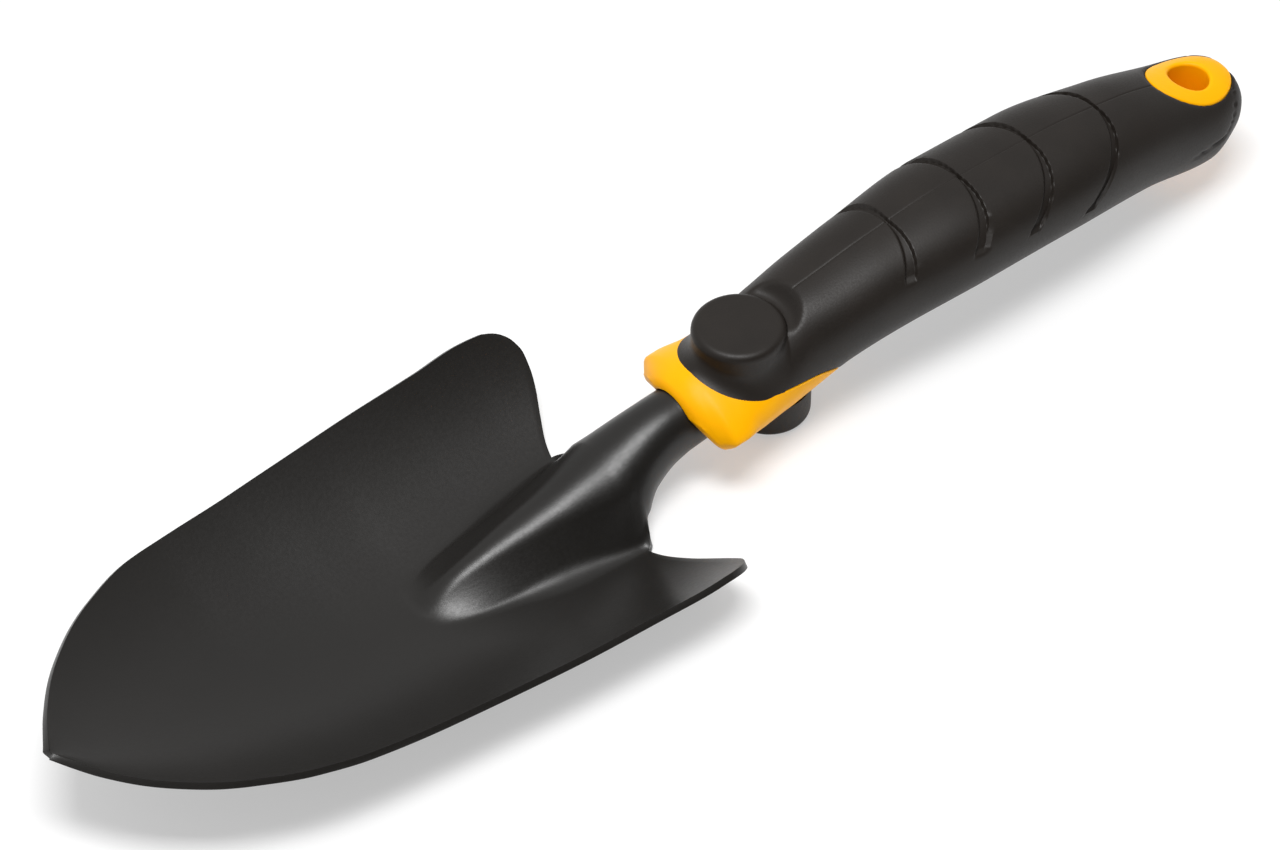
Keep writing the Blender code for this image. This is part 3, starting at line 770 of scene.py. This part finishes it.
@dataclass
class HandleForm:
    """The outer form of the handle that the cover, the collar and the eye share."""

    length: float = 162.5 * MM
    nose: float = 1.6 * MM
    # Share of the length, top, bottom, half width (mm) and squareness of the oval
    sections: tuple[tuple[float, ...], ...] = (
        (0.000, 13.4, 6.8, 3.6, 2.0),
        (0.012, 16.2, 3.0, 7.9, 2.1),
        (0.034, 17.4, 0.2, 10.6, 2.2),
        (0.085, 18.9, -3.6, 13.2, 2.2),
        (0.212, 24.3, 0.0, 14.7, 2.2),
        (0.363, 26.9, 2.6, 17.0, 2.2),
        (0.515, 27.1, 2.2, 17.0, 2.2),
        (0.666, 24.4, 0.2, 15.0, 2.2),
        (0.750, 21.8, -1.7, 14.1, 2.2),
        (0.818, 19.5, -6.0, 13.6, 2.1),
        (0.855, 16.8, -7.2, 13.9, 2.0),
        (0.915, 12.6, -7.5, 14.9, 1.8),
        (0.950, 12.2, -7.0, 16.6, 1.45),
        (0.966, 11.8, -7.0, 16.6, 1.45),
        (0.980, 10.9, -7.0, 14.2, 1.6),
        (0.993, 9.5, -7.0, 11.0, 1.9),
        (1.000, 8.4, -6.8, 9.0, 2.0),
    )
    # Edge where the cover meets the collar, seen from the side: height, distance back from the front (mm)
    collar_edge: tuple[tuple[float, float], ...] = (
        (-12.0, 42.5),
        (-1.5, 40.5),
        (4.4, 35.5),
        (5.9, 31.5),
        (6.4, 27.5),
        (7.1, 19.2),
        (8.1, 13.3),
        (9.5, 9.2),
        (10.8, 7.4),
        (24.0, 7.2),
    )
    # Front of the collar, seen from the side: height, distance back from the front (mm)
    collar_front: tuple[tuple[float, float], ...] = (
        (-12.0, 8.4),
        (-7.0, 7.4),
        (-3.4, 5.4),
        (1.0, 2.3),
        (4.0, 0.7),
        (5.4, 0.0),
        (24.0, 0.0),
    )
    # Where a line's crossing with the collar edge and with its front is looked for, and in how many halvings
    edge_search: tuple[float, float] = (100 * MM, 162 * MM)
    front_search: tuple[float, float] = (140 * MM, 162.5 * MM)
    halvings: int = 36
    rest_radius: float = 10.6 * MM
    rest_top: float = 18.4 * MM
    rest_from_front: float = 18.5 * MM
    rest_edge: float = 1.9 * MM
    rest_fillet: float = 3.2 * MM
    rest_proud: float = 1.7 * MM
    valley_width: float = 0.7 * MM
    valley_rise: float = 0.30
    valley_blend: float = 0.8 * MM
    eye_from_butt: float = 12.2 * MM
    eye_half_length: float = 11.0 * MM
    eye_half_width: float = 8.8 * MM
    # Close lines on each side of the moulding seam, as angles from it (degrees)
    seam_lines: tuple[float, ...] = (0.22, 0.5, 0.85, 1.4)

    def __post_init__(self) -> None:
        """Turns the tables into curves."""
        self.curves = all_columns(self.sections)
        self.edge_curve = Curve(self.collar_edge)
        self.front_curve = Curve(self.collar_front)
        self.rest_x = self.length - self.rest_from_front

    def section(self, x: float) -> tuple[float, float, float, float]:
        """Reads the oval section of the form.

        Args:
            x: Place along the handle.

        Returns:
            Middle height, half height, half width and squareness there.
        """
        share = x / self.length
        top, bottom, half_width, squareness = (curve.at(share) for curve in self.curves)
        nose = 1 - clamp(x / self.nose)
        full = math.sqrt(max(1 - nose * nose, 0.0))
        return (top + bottom) / 2 * MM, (top - bottom) / 2 * MM * full, half_width * MM * full, squareness

    def surface(self, x: float, angle: float, inset: float = 0.0) -> Vector:
        """A point of the form.

        Args:
            x: Place along the handle.
            angle: Angle round it, from the near side towards the top.
            inset: Depth below the surface.

        Returns:
            The point.
        """
        middle, half_height, half_width, squareness = self.section(x)
        cosine = power(math.cos(angle), 2 / squareness)
        sine = power(math.sin(angle), 2 / squareness)
        point = Vector((x, half_width * cosine, middle + half_height * sine))
        if inset and half_height > 0:
            out_y = power(cosine, squareness - 1) / half_width
            out_z = power(sine, squareness - 1) / half_height
            out = Vector((0.0, out_y, out_z)).normalized()
            point -= out * inset
        return point

    def top(self, x: float, y: float) -> float:
        """Height of the upper surface.

        Args:
            x: Place along the handle.
            y: Distance from its middle.

        Returns:
            The height.
        """
        middle, half_height, half_width, squareness = self.section(x)
        out = clamp(abs(y) / half_width if half_width > 0 else 1.0)
        return middle + half_height * (1 - out**squareness) ** (1 / squareness)

    def bottom(self, x: float, y: float) -> float:
        """Height of the lower surface below a point of the plan."""
        middle = self.section(x)[0]
        return 2 * middle - self.top(x, y)

    def valley(self, x: float, y: float, z: float) -> float:
        """Height of the upper surface with the valley that runs round the thumb rest.

        Args:
            x: Place along the handle.
            y: Distance from its middle.
            z: Height of the plain form there.

        Returns:
            The lowered height.
        """
        distance = math.hypot(x - self.rest_x, y)
        rise = max(distance - self.rest_radius - self.valley_width, 0.0) / MM
        limit = self.rest_top - self.rest_proud + rise * rise * self.valley_rise * MM
        return soft_least(z, limit, self.valley_blend)

    def crossing(self, angle: float, curve: Curve, low: float, high: float) -> float:
        """Place along the handle where a line at an angle meets a side curve.

        Args:
            angle: Angle of the line round the handle.
            curve: Distance back from the front against height (mm).
            low: Least place to look at.
            high: Greatest place to look at.

        Returns:
            The place.
        """
        for _ in range(self.halvings):
            middle = (low + high) / 2
            z = self.surface(middle, angle).z
            if middle < self.length - curve.at(z / MM) * MM:
                low = middle
            else:
                high = middle
        return (low + high) / 2

    def angles(self, steps: int) -> list[float]:
        """Angles round the handle from the near side, with close lines beside the moulding seam.

        Args:
            steps: Number of even steps round it.

        Returns:
            The angles in order.
        """
        beside = [side * math.radians(value) for side in (-1, 1) for value in self.seam_lines]
        plain = [FULL * i / steps for i in range(steps + 1)]
        extra = [centre + value for centre in (QUARTER, 3 * QUARTER) for value in beside]
        return sorted(plain + extra)

    def edge_place(self, angle: float) -> float:
        """Place of the cover's front edge on a line along the handle."""
        return self.crossing(angle, self.edge_curve, *self.edge_search)

    def front_place(self, angle: float) -> float:
        """Place of the collar's front on a line along the handle."""
        return self.crossing(angle, self.front_curve, *self.front_search)


@dataclass
class GripCover:
    """The soft cover: grooved grip, thumb rest, and openings for the eye and the collar."""

    form: HandleForm
    blade: PressedBlade
    grooves: tuple[Groove, ...] = (
        Groove(0.256, -1.35, 13.8),
        Groove(0.382, -1.13, 16.8),
        Groove(0.505, -0.80, 18.6),
        Groove(0.630, -0.62, 18.6),
    )
    groove_depth: float = 0.9 * MM
    groove_top_width: float = 1.1 * MM
    groove_side_width: float = 3.8 * MM
    groove_end: float = 1.3 * MM
    steep_wall: float = 0.3 * MM
    soft_wall: float = 0.9 * MM
    seam_depth: float = 0.14 * MM
    seam_width: float = 0.2 * MM
    butt_line_depth: float = 0.45 * MM
    butt_line_width: float = 0.32 * MM
    butt_line_height: float = 7.7 * MM
    butt_line_end: float = 25.0 * MM
    butt_line_fade: float = 6.0 * MM
    # The line round the butt rises behind this place (mm from the butt) by a share of the distance squared
    butt_line_bend: float = 12.0
    butt_line_rise: float = 0.15
    edge_rounding: float = 0.45 * MM
    eye_rounding: float = 0.5 * MM
    eye_sides: int = 128
    eye_room_height: float = 80.0 * MM
    deepest_share: float = 0.8
    rest_steps: int = 144
    rest_edge_steps: int = 8
    rest_fillet_steps: int = 10
    rest_fillet_share: float = 0.85
    rest_fillet_least: float = 0.25 * MM
    rest_root: float = 1.2 * MM
    rest_root_share: float = 0.9
    rest_sink: float = 0.03 * MM
    # Rings of the rest's flat top: share of its radius, drop (mm)
    rest_rings: tuple[tuple[float, float], ...] = (
        (0.0, 0.0),
        (0.25, 0.0),
        (0.5, 0.0),
        (0.75, 0.0),
        (0.93, 0.01),
    )
    guide_rounds: int = 12
    # Close rows along the crown. Place where they end and their spacing: round the butt, then past the eye
    butt_rows: tuple[float, float] = (1.6 * MM, 0.16 * MM)
    eye_rows: tuple[float, float] = (25.0 * MM, 0.6 * MM)
    # Reach and spacing: to each side of a groove, and back from the front edge
    groove_rows: tuple[float, float] = (2.7 * MM, 0.17 * MM)
    edge_rows: tuple[float, float] = (0.6 * MM, 0.1 * MM)
    # Place where they start and their spacing: under the thumb rest
    rest_rows: tuple[float, float] = (128.0 * MM, 0.7 * MM)
    plain_spacing: float = 1.3 * MM
    least_spacing: float = 0.05 * MM
    gap: float = HALF_GAP
    steps_round: int = 132

    def __post_init__(self) -> None:
        """Finds where each line along the grip crosses the grooves and the collar edge."""
        self.angle_list = self.form.angles(self.steps_round)
        self.crowns = [groove.share * self.form.length for groove in self.grooves]
        self.guides = [self.guide_places(angle) for angle in self.angle_list]
        self.guide_crowns = [0.0, *self.crowns, self.form.edge_place(QUARTER) - self.gap]
        self.row_list = self.rows()

    def guide_places(self, angle: float) -> list[float]:
        """Finds where one line along the grip meets the butt, each groove and the collar edge.

        Args:
            angle: Angle of the line round the handle.

        Returns:
            The places in order.
        """
        form = self.form
        places = [0.0]
        for groove in self.grooves:
            crown_x = groove.share * form.length
            crown_z = form.surface(crown_x, QUARTER).z
            x = crown_x
            for _ in range(self.guide_rounds):
                x = crown_x + groove.lean * (form.surface(x, angle).z - crown_z)
            places.append(x)
        places.append(form.edge_place(angle) - self.gap)
        return places

    def rows(self) -> list[float]:
        """Finds the rows along the crown, close together at the butt, the grooves and the collar edge.

        Returns:
            The places of the rows, from the butt forwards.
        """
        end = self.guide_crowns[-1]
        butt_end, butt_spacing = self.butt_rows
        eye_end, eye_spacing = self.eye_rows
        rest_start, rest_spacing = self.rest_rows
        edge_reach, edge_spacing = self.edge_rows
        groove_reach, groove_spacing = self.groove_rows
        zones = [(0.0, butt_end, butt_spacing), (butt_end, eye_end, eye_spacing)]
        zones += [(eye_end, end, self.plain_spacing), (rest_start, end, rest_spacing)]
        zones += [(end - edge_reach, end, edge_spacing)]
        zones += [(crown - groove_reach, crown + groove_reach, groove_spacing) for crown in self.crowns]
        places: list[float] = []
        x = 0.0
        while x < end - self.least_spacing:
            places.append(x)
            x += min(step for low, high, step in zones if low <= x < high)
        return [*places, end]

    def row_place(self, crown: float, across: int) -> float:
        """Place of a row on one line along the grip, between the guides on each side of it.

        Args:
            crown: Place of the row on the crown.
            across: Line round the handle.

        Returns:
            Its place on that line.
        """
        span = min(bisect_right(self.guide_crowns, crown) - 1, len(self.guide_crowns) - 2)
        low, high = self.guide_crowns[span], self.guide_crowns[span + 1]
        share = (crown - low) / (high - low)
        places = self.guides[across]
        return places[span] + (places[span + 1] - places[span]) * share

    def groove_cut(self, point: Vector, half_width: float) -> float:
        """Depth of the grooves at a point of the form.

        Args:
            point: Point of the plain form.
            half_width: Half width of the form there.

        Returns:
            The depth.
        """
        depth = 0.0
        for groove, crown_x in zip(self.grooves, self.crowns):
            crown_z = self.form.section(crown_x)[0] + self.form.section(crown_x)[1]
            across = point.x - crown_x - groove.lean * (point.z - crown_z)
            half = self.groove_top_width / 2
            half += (self.groove_side_width - self.groove_top_width) / 2 * abs(point.y) / half_width
            if abs(across) >= half:
                continue
            soft = min(self.soft_wall, half)
            cut = ease((across + half) / self.steep_wall) * ease((half - across) / soft)
            cut *= ease((point.z - groove.end_height * MM) / self.groove_end)
            depth = max(depth, cut * self.groove_depth)
        return depth

    def line_cut(self, point: Vector) -> float:
        """Depth of the fine moulding lines: the seam along the crown and the line round the butt.

        Args:
            point: Point of the plain form.

        Returns:
            The depth.
        """
        seam = self.seam_depth * math.exp(-((point.y / self.seam_width) ** 2))
        behind = max(self.butt_line_bend - point.x / MM, 0.0)
        line = self.butt_line_height + self.butt_line_rise * behind * behind * MM
        fade = ease((self.butt_line_end - point.x) / self.butt_line_fade)
        butt = self.butt_line_depth * fade * math.exp(-(((point.z - line) / self.butt_line_width) ** 2))
        return seam + butt

    def eye_cut(self, point: Vector) -> float:
        """Depth by which the cover rolls over at the edge of the eye opening.

        Args:
            point: Point of the plain form.

        Returns:
            The depth.
        """
        form = self.form
        out = math.hypot((point.x - form.eye_from_butt) / form.eye_half_length, point.y / form.eye_half_width)
        distance = (out - 1) * form.eye_half_width - self.gap
        if distance >= self.eye_rounding:
            return 0.0
        inside = clamp(distance / self.eye_rounding)
        return self.eye_rounding * (1 - math.sqrt(1 - (1 - inside) ** 2))

    def corner(self, row: int, across: int) -> Vector:
        """Place of a corner of the cover; after the last row it turns in and closes along the middle.

        Args:
            row: Row from the butt forwards.
            across: Line round the handle.

        Returns:
            The place.
        """
        form = self.form
        angle = self.angle_list[across]
        last = len(self.row_list) - 1
        x = self.row_place(self.row_list[min(row, last)], across)
        end = self.guides[across][-1]
        if row <= last:
            back = clamp((end - x) / self.edge_rounding)
            inset = self.edge_rounding * (1 - math.sqrt(1 - (1 - back) ** 2))
        else:
            inset = self.edge_rounding
        point = form.surface(x, angle)
        depth = inset + self.groove_cut(point, max(form.section(x)[2], MM)) + self.line_cut(point)
        depth += self.eye_cut(point)
        depth = min(depth, form.section(x)[1] * self.deepest_share)
        point = form.surface(x, angle, depth)
        if math.sin(angle) > 0:
            point.z = form.valley(point.x, point.y, point.z)
        if row > last:
            point.y = 0.0
        return point

    def rest_corner(self, row: int, across: int, profile: Sequence[tuple[float, float]]) -> Vector:
        """Place of a corner of the thumb rest, whose foot flows into the grip with a hollow fillet.

        Args:
            row: Row of the profile, from the middle of the top to the foot.
            across: Step round the rest.
            profile: (radius, height) rows of the top and its edge, then rows of the fillet and the root,
                which hold a radius and, below zero, the turn round the fillet.

        Returns:
            The place.
        """
        form = self.form
        angle = FULL * across / self.rest_steps
        way = Vector((math.cos(angle), math.sin(angle), 0.0))
        centre = Vector((form.rest_x, 0.0, 0.0))
        radius, height = profile[row]
        if height > 0:
            return centre + way * radius + Vector((0, 0, height))
        foot = centre + way * form.rest_radius
        foot_z = form.valley(foot.x, foot.y, form.top(foot.x, foot.y))
        room = form.rest_top - form.rest_edge - foot_z
        fillet = clamp(room * self.rest_fillet_share, self.rest_fillet_least, form.rest_fillet)
        turn = min(-height, QUARTER)
        place = centre + way * (form.rest_radius + fillet * (1 - math.cos(turn)))
        ground = form.valley(place.x, place.y, form.top(place.x, place.y))
        if -height > QUARTER:
            place = centre + way * radius
            return Vector((place.x, place.y, ground - self.rest_root))
        return Vector((place.x, place.y, ground + fillet * (1 - math.sin(turn)) - self.rest_sink))

    def thumb_rest(self) -> bpy.types.Object:
        """Shapes the round thumb rest, ready to be joined to the grip.

        Returns:
            The closed solid.
        """
        form = self.form
        inner = form.rest_radius - form.rest_edge
        profile = [(inner * share, form.rest_top - drop * MM) for share, drop in self.rest_rings]
        for i in range(self.rest_edge_steps + 1):
            turn = QUARTER * i / self.rest_edge_steps
            drop = form.rest_edge * (1 - math.cos(turn)) + self.rest_sink
            profile.append((inner + form.rest_edge * math.sin(turn), form.rest_top - drop))
        for i in range(self.rest_fillet_steps + 1):
            turn = max(QUARTER * i / self.rest_fillet_steps, LEAST_TURN)
            profile.append((form.rest_radius, -turn))
        root_turn = 2 * QUARTER
        profile += [(form.rest_radius * self.rest_root_share, -root_turn), (0.0, -root_turn)]

        def place(row: int, across: int) -> Vector:
            """Place of a corner of the rest."""
            return self.rest_corner(row, across, profile)

        return object_from("thumb_rest", mapped_grid(len(profile) - 1, self.rest_steps, place))

    def eye_room(self) -> bpy.types.Object:
        """Makes the upright oval solid that opens the cover for the eye.

        Returns:
            The cutting solid.
        """
        bm = bmesh.new()
        bmesh.ops.create_cone(
            bm, cap_ends=True, segments=self.eye_sides, radius1=1, radius2=1, depth=self.eye_room_height
        )
        form = self.form
        size = Matrix.Diagonal((form.eye_half_length + self.gap, form.eye_half_width + self.gap, 1, 1))
        bmesh.ops.transform(bm, matrix=Matrix.Translation((form.eye_from_butt, 0, 0)) @ size, verts=bm.verts)
        return object_from("eye_room", bm)

    def build(self, finish: bpy.types.Material) -> bpy.types.Object:
        """Shapes the cover, joins the thumb rest to it and opens it for the eye and the tang.

        Args:
            finish: Material of the soft grip.

        Returns:
            The cover.
        """
        rows = len(self.row_list)
        cover = object_from("grip_cover_skin", mapped_grid(rows, len(self.angle_list) - 1, self.corner))
        combine(cover, self.thumb_rest(), Combination.JOIN)
        combine(cover, self.eye_room(), Combination.CUT)
        combine(cover, self.blade.tang_room(TANG_GAP), Combination.CUT)
        lay_down(cover)
        attach(cover, "grip_cover", Slot.BLACK_RUBBER, finish)
        return cover


@dataclass
class HandleCore:
    """What shows of the hard core: the lens-shaped collar at the front and the oval eye at the butt."""

    form: HandleForm
    blade: PressedBlade
    gap: float = HALF_GAP
    lip_rounding: float = 0.9 * MM
    rear_rounding: float = 0.3 * MM
    side_rows: int = 40
    lip_rows: int = 6
    face_rows: int = 6
    face_middle: float = -0.4 * MM
    steps_round: int = 176
    hole_radius: float = 4.8 * MM
    hole_rounding: float = 1.0 * MM
    eye_rounding: float = 0.45 * MM
    eye_recess: float = 0.12 * MM
    eye_steps: int = 128
    eye_turn_steps: int = 6
    eye_face_rows: int = 10

    def __post_init__(self) -> None:
        """Finds the rear edge and the front edge of the collar on every line round it."""
        self.angle_list = [FULL * i / self.steps_round for i in range(self.steps_round + 1)]
        self.rear = [self.form.edge_place(angle) + self.gap for angle in self.angle_list]
        self.front = [self.form.front_place(angle) for angle in self.angle_list]

    def collar_corner(self, row: int, across: int) -> Vector:
        """Place of a corner of the collar.

        Args:
            row: Row from the middle of its rear face, over its side, to the middle of its front.
            across: Line round the collar.

        Returns:
            The place.
        """
        form = self.form
        angle = self.angle_list[across]
        rear, front = self.rear[across], self.front[across]
        if row == 0:
            point = form.surface(rear, angle, self.rear_rounding)
            return Vector((rear, 0.0, point.z))
        row -= 1
        if row <= self.lip_rows:
            turn = QUARTER * row / self.lip_rows
            inset = self.rear_rounding * (1 - math.sin(turn))
            return form.surface(rear + self.rear_rounding * (1 - math.cos(turn)), angle, inset)
        row -= self.lip_rows
        side_start = rear + self.rear_rounding
        side_end = front - self.lip_rounding
        if row <= self.side_rows:
            return form.surface(side_start + (side_end - side_start) * row / self.side_rows, angle)
        row -= self.side_rows
        outer = form.surface(front, angle)
        inward = Vector((0.0, -outer.y, self.face_middle - outer.z))
        if row <= self.lip_rows:
            turn = QUARTER * row / self.lip_rows
            step = self.lip_rounding * (1 - math.cos(turn))
            point = form.surface(side_end + self.lip_rounding * math.sin(turn), angle)
            point += inward.normalized() * step
            face = form.length - form.front_curve.at(point.z / MM) * MM
            point.x = face - self.lip_rounding * (1 - math.sin(turn))
            return point
        row -= self.lip_rows
        share = row / self.face_rows
        start = outer + inward.normalized() * self.lip_rounding
        y = start.y * (1 - share)
        z = start.z + (self.face_middle - start.z) * share
        return Vector((form.length - form.front_curve.at(z / MM) * MM, y, z))

    def build_collar(self, stop_room: bpy.types.Object, finish: bpy.types.Material) -> bpy.types.Object:
        """Shapes the collar and opens it for the neck and for the finger stop.

        Args:
            stop_room: Solid that opens the seat of the finger stop.
            finish: Material of the core.

        Returns:
            The collar.
        """
        rows = 1 + self.lip_rows + self.side_rows + self.lip_rows + self.face_rows
        collar = object_from("core_collar", mapped_grid(rows, self.steps_round, self.collar_corner))
        combine(collar, self.blade.tang_room(TANG_GAP), Combination.CUT)
        combine(collar, stop_room, Combination.CUT)
        lay_down(collar)
        attach(collar, "handle_core", Slot.YELLOW_PLASTIC, finish)
        return collar

    def build_eye(self, finish: bpy.types.Material) -> bpy.types.Object:
        """Shapes the oval eye as a closed ring round the hang hole.

        Args:
            finish: Material of the core.

        Returns:
            The eye.
        """
        form = self.form
        turns = [QUARTER * i / self.eye_turn_steps for i in range(self.eye_turn_steps + 1)]
        bends = [(1 - math.cos(turn), 1 - math.sin(turn)) for turn in turns]
        # Each row: share from the hole to the rim of the eye, distance beyond that share, drop below the face
        upper = [(0.0, self.hole_rounding * out, self.hole_rounding * down) for out, down in bends]
        upper += [(i / self.eye_face_rows, 0.0, 0.0) for i in range(1, self.eye_face_rows)]
        upper += [(1.0, -self.eye_rounding * back, self.eye_rounding * down) for down, back in bends]
        count = len(upper)

        def place(row: int, across: int) -> Vector:
            """Place of a corner of the eye.

            Args:
                row: Row up the hole, over the upper face, down the rim and back over the lower face.
                across: Step round the eye.

            Returns:
                The place.
            """
            angle = FULL * across / self.eye_steps
            row %= 2 * count
            on_top = row < count
            share, beyond, drop = upper[row] if on_top else upper[2 * count - 1 - row]
            way = Vector((math.cos(angle), math.sin(angle), 0.0))
            hole = way * self.hole_radius
            rim = Vector((form.eye_half_length * way.x, form.eye_half_width * way.y, 0.0))
            out = (rim - hole).normalized()
            start = hole + out * self.hole_rounding
            stop = rim - out * self.eye_rounding
            if share == 0.0:
                point = hole + out * beyond
            elif share == 1.0:
                point = rim + out * beyond
            else:
                point = start.lerp(stop, share)
            x, y = point.x + form.eye_from_butt, point.y
            if on_top:
                return Vector((x, y, form.top(x, y) - self.eye_recess - drop))
            return Vector((x, y, form.bottom(x, y) + self.eye_recess + drop))

        eye = object_from("core_eye", mapped_grid(2 * count, self.eye_steps, place))
        lay_down(eye)
        attach(eye, "handle_core", Slot.YELLOW_PLASTIC, finish)
        return eye


@dataclass
class FingerStop:
    """The round soft stop under the collar."""

    form: HandleForm
    radius: float = 9.5 * MM
    bottom: float = -13.4 * MM
    from_front: float = 27.5 * MM
    edge: float = 1.6 * MM
    edge_steps: int = 12
    seat: float = 1.8 * MM

    def profile(self, gap: float) -> list[tuple[float, float]]:
        """Profile of the stop, from the middle of its top to the middle of its base.

        Args:
            gap: How much it is grown.

        Returns:
            Its (radius, height) points.
        """
        middle, half_height, _, _ = self.form.section(self.form.length - self.from_front)
        top = middle - half_height + self.seat + gap
        low, radius = self.bottom - gap, self.radius + gap
        rows = [(0.0, top), (radius, top)]
        for i in range(self.edge_steps + 1):
            turn = QUARTER * i / self.edge_steps
            reach = radius - self.edge + self.edge * math.cos(turn)
            rows.append((reach, low + self.edge - self.edge * math.sin(turn)))
        return [*rows, (0.0, low)]

    def solid(self, name: str, gap: float) -> bpy.types.Object:
        """The stop as a closed turned solid, grown by a gap."""
        centre = Vector((self.form.length - self.from_front, 0.0, 0.0))
        return object_from(name, spun(self.profile(gap), centre))

    def build(self, finish: bpy.types.Material) -> bpy.types.Object:
        """Makes the finished stop.

        Args:
            finish: Material of the soft grip.

        Returns:
            The stop.
        """
        stop = self.solid("finger_stop_pad", 0.0)
        lay_down(stop)
        attach(stop, "finger_stop", Slot.BLACK_RUBBER, finish)
        return stop


@dataclass
class Studio:
    """Pale floor, soft sky and lamp, and the camera at the photograph's angle."""

    azimuth: float = math.radians(142.358)
    elevation: float = math.radians(46.505)
    target: Vector = field(default_factory=lambda: Vector((171.271, 0.0, 4.010)) * MM)
    distance: float = 1083.335 * MM
    focal_pixels: float = 4964.3
    image_width: float = 1280.0
    sensor: float = 36.0
    clip: tuple[float, float] = (0.05, 50.0)
    floor_half_size: float = 6.0
    floor_colour: tuple[float, float, float] = (0.93, 0.93, 0.93)
    floor_roughness: float = 0.9
    floor_specular: float = 0.1
    floor_glow: float = 0.45
    # The sky fades along its Y direction, between these ends, from one strength to the other
    fade_ends: tuple[float, float] = (-0.25, 0.75)
    far_strength: float = 0.62
    near_strength: float = 0.08
    key_direction: Vector = field(default_factory=lambda: Vector((0.11, 0.12, 0.98)))
    key_distance: float = 1.4
    key_size: tuple[float, float] = (0.76, 0.40)
    key_power: float = 18.5

    def camera(self) -> None:
        """Places the camera at the photograph's viewing angle."""
        back = Vector(
            (
                math.sin(self.azimuth) * math.cos(self.elevation),
                -math.cos(self.azimuth) * math.cos(self.elevation),
                math.sin(self.elevation),
            )
        )
        right = Vector((0, 0, 1)).cross(back).normalized()
        place = Matrix((right, back.cross(right), back)).transposed().to_4x4()
        place.translation = self.target + back * self.distance
        data = bpy.data.cameras.new("camera")
        data.sensor_width = self.sensor
        data.lens = self.focal_pixels / self.image_width * self.sensor
        data.clip_start, data.clip_end = self.clip
        camera = bpy.data.objects.new("camera", data)
        bpy.context.scene.collection.objects.link(camera)
        camera.matrix_world = LAID @ place
        bpy.context.scene.camera = camera

    def floor(self) -> None:
        """Lays the pale floor, which keeps the object's shadow."""
        bm = bmesh.new()
        bmesh.ops.create_grid(bm, x_segments=1, y_segments=1, size=self.floor_half_size)
        floor = object_from("floor", bm)
        pale = bpy.data.materials.new("pale floor")
        pale.use_nodes = True
        nodes, links = pale.node_tree.nodes, pale.node_tree.links
        shader = nodes["Principled BSDF"]
        shader.inputs["Base Color"].default_value = (*self.floor_colour, 1.0)
        shader.inputs["Roughness"].default_value = self.floor_roughness
        shader.inputs["Specular IOR Level"].default_value = self.floor_specular
        glow = nodes.new("ShaderNodeEmission")
        glow.inputs["Strength"].default_value = 1.0
        path = nodes.new("ShaderNodeLightPath")
        seen = path.outputs["Is Camera Ray"]
        for ray in ("Is Glossy Ray", "Is Transmission Ray"):
            either = nodes.new("ShaderNodeMath")
            either.operation = "MAXIMUM"
            links.new(seen, either.inputs[0])
            links.new(path.outputs[ray], either.inputs[1])
            seen = either.outputs[0]
        share = nodes.new("ShaderNodeMath")
        share.operation = "MULTIPLY"
        share.inputs[1].default_value = self.floor_glow
        links.new(seen, share.inputs[0])
        mix = nodes.new("ShaderNodeMixShader")
        links.new(share.outputs[0], mix.inputs["Fac"])
        links.new(shader.outputs["BSDF"], mix.inputs[1])
        links.new(glow.outputs["Emission"], mix.inputs[2])
        links.new(mix.outputs["Shader"], nodes["Material Output"].inputs["Surface"])
        floor.data.materials.append(pale)

    def lamp(self) -> None:
        """Hangs the soft rectangular lamp that faces the middle of the tool."""
        data = bpy.data.lights.new("key", "AREA")
        data.shape = "RECTANGLE"
        data.size, data.size_y = self.key_size
        data.energy = self.key_power
        lamp = bpy.data.objects.new("key", data)
        bpy.context.scene.collection.objects.link(lamp)
        lamp.location = self.key_direction.normalized() * self.key_distance
        lamp.rotation_mode = "QUATERNION"
        lamp.rotation_quaternion = self.key_direction.to_track_quat("Z", "Y")

    def sky(self) -> None:
        """Makes the soft sky, which is brighter beyond the tool than on the camera's side."""
        world = bpy.data.worlds.new("studio")
        bpy.context.scene.world = world
        world.use_nodes = True
        nodes, links = world.node_tree.nodes, world.node_tree.links
        light = nodes["Background"]
        light.inputs["Color"].default_value = (1.0, 1.0, 1.0, 1.0)
        place = nodes.new("ShaderNodeTexCoord")
        axes = nodes.new("ShaderNodeSeparateXYZ")
        fade = nodes.new("ShaderNodeMapRange")
        fade.inputs["From Min"].default_value = self.fade_ends[0]
        fade.inputs["From Max"].default_value = self.fade_ends[1]
        fade.inputs["To Min"].default_value = self.far_strength
        fade.inputs["To Max"].default_value = self.near_strength
        links.new(place.outputs["Generated"], axes.inputs[0])
        links.new(axes.outputs["Y"], fade.inputs["Value"])
        links.new(fade.outputs["Result"], light.inputs["Strength"])

    def build(self) -> None:
        """Sets up the whole studio."""
        bpy.context.scene.view_settings.view_transform = "Standard"
        self.sky()
        self.floor()
        self.lamp()
        self.camera()
        log.info("studio: sky, floor, lamp and camera in place")


def main() -> None:
    """Builds the trowel piece by piece, and the studio round it."""
    logging.basicConfig(level=logging.INFO, format="%(name)s %(message)s", stream=sys.stdout)
    coat, plastic, grip = POWDER_COAT.material(), MOULDED_PLASTIC.material(), SOFT_GRIP.material()
    blade = PressedBlade()
    form = HandleForm()
    stop = FingerStop(form)
    core = HandleCore(form, blade)
    blade.build(coat)
    core.build_collar(stop.solid("stop_room", core.gap), plastic)
    core.build_eye(plastic)
    GripCover(form, blade).build(grip)
    stop.build(grip)
    Studio().build()


if __name__ == "__main__":
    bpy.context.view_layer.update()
    main()
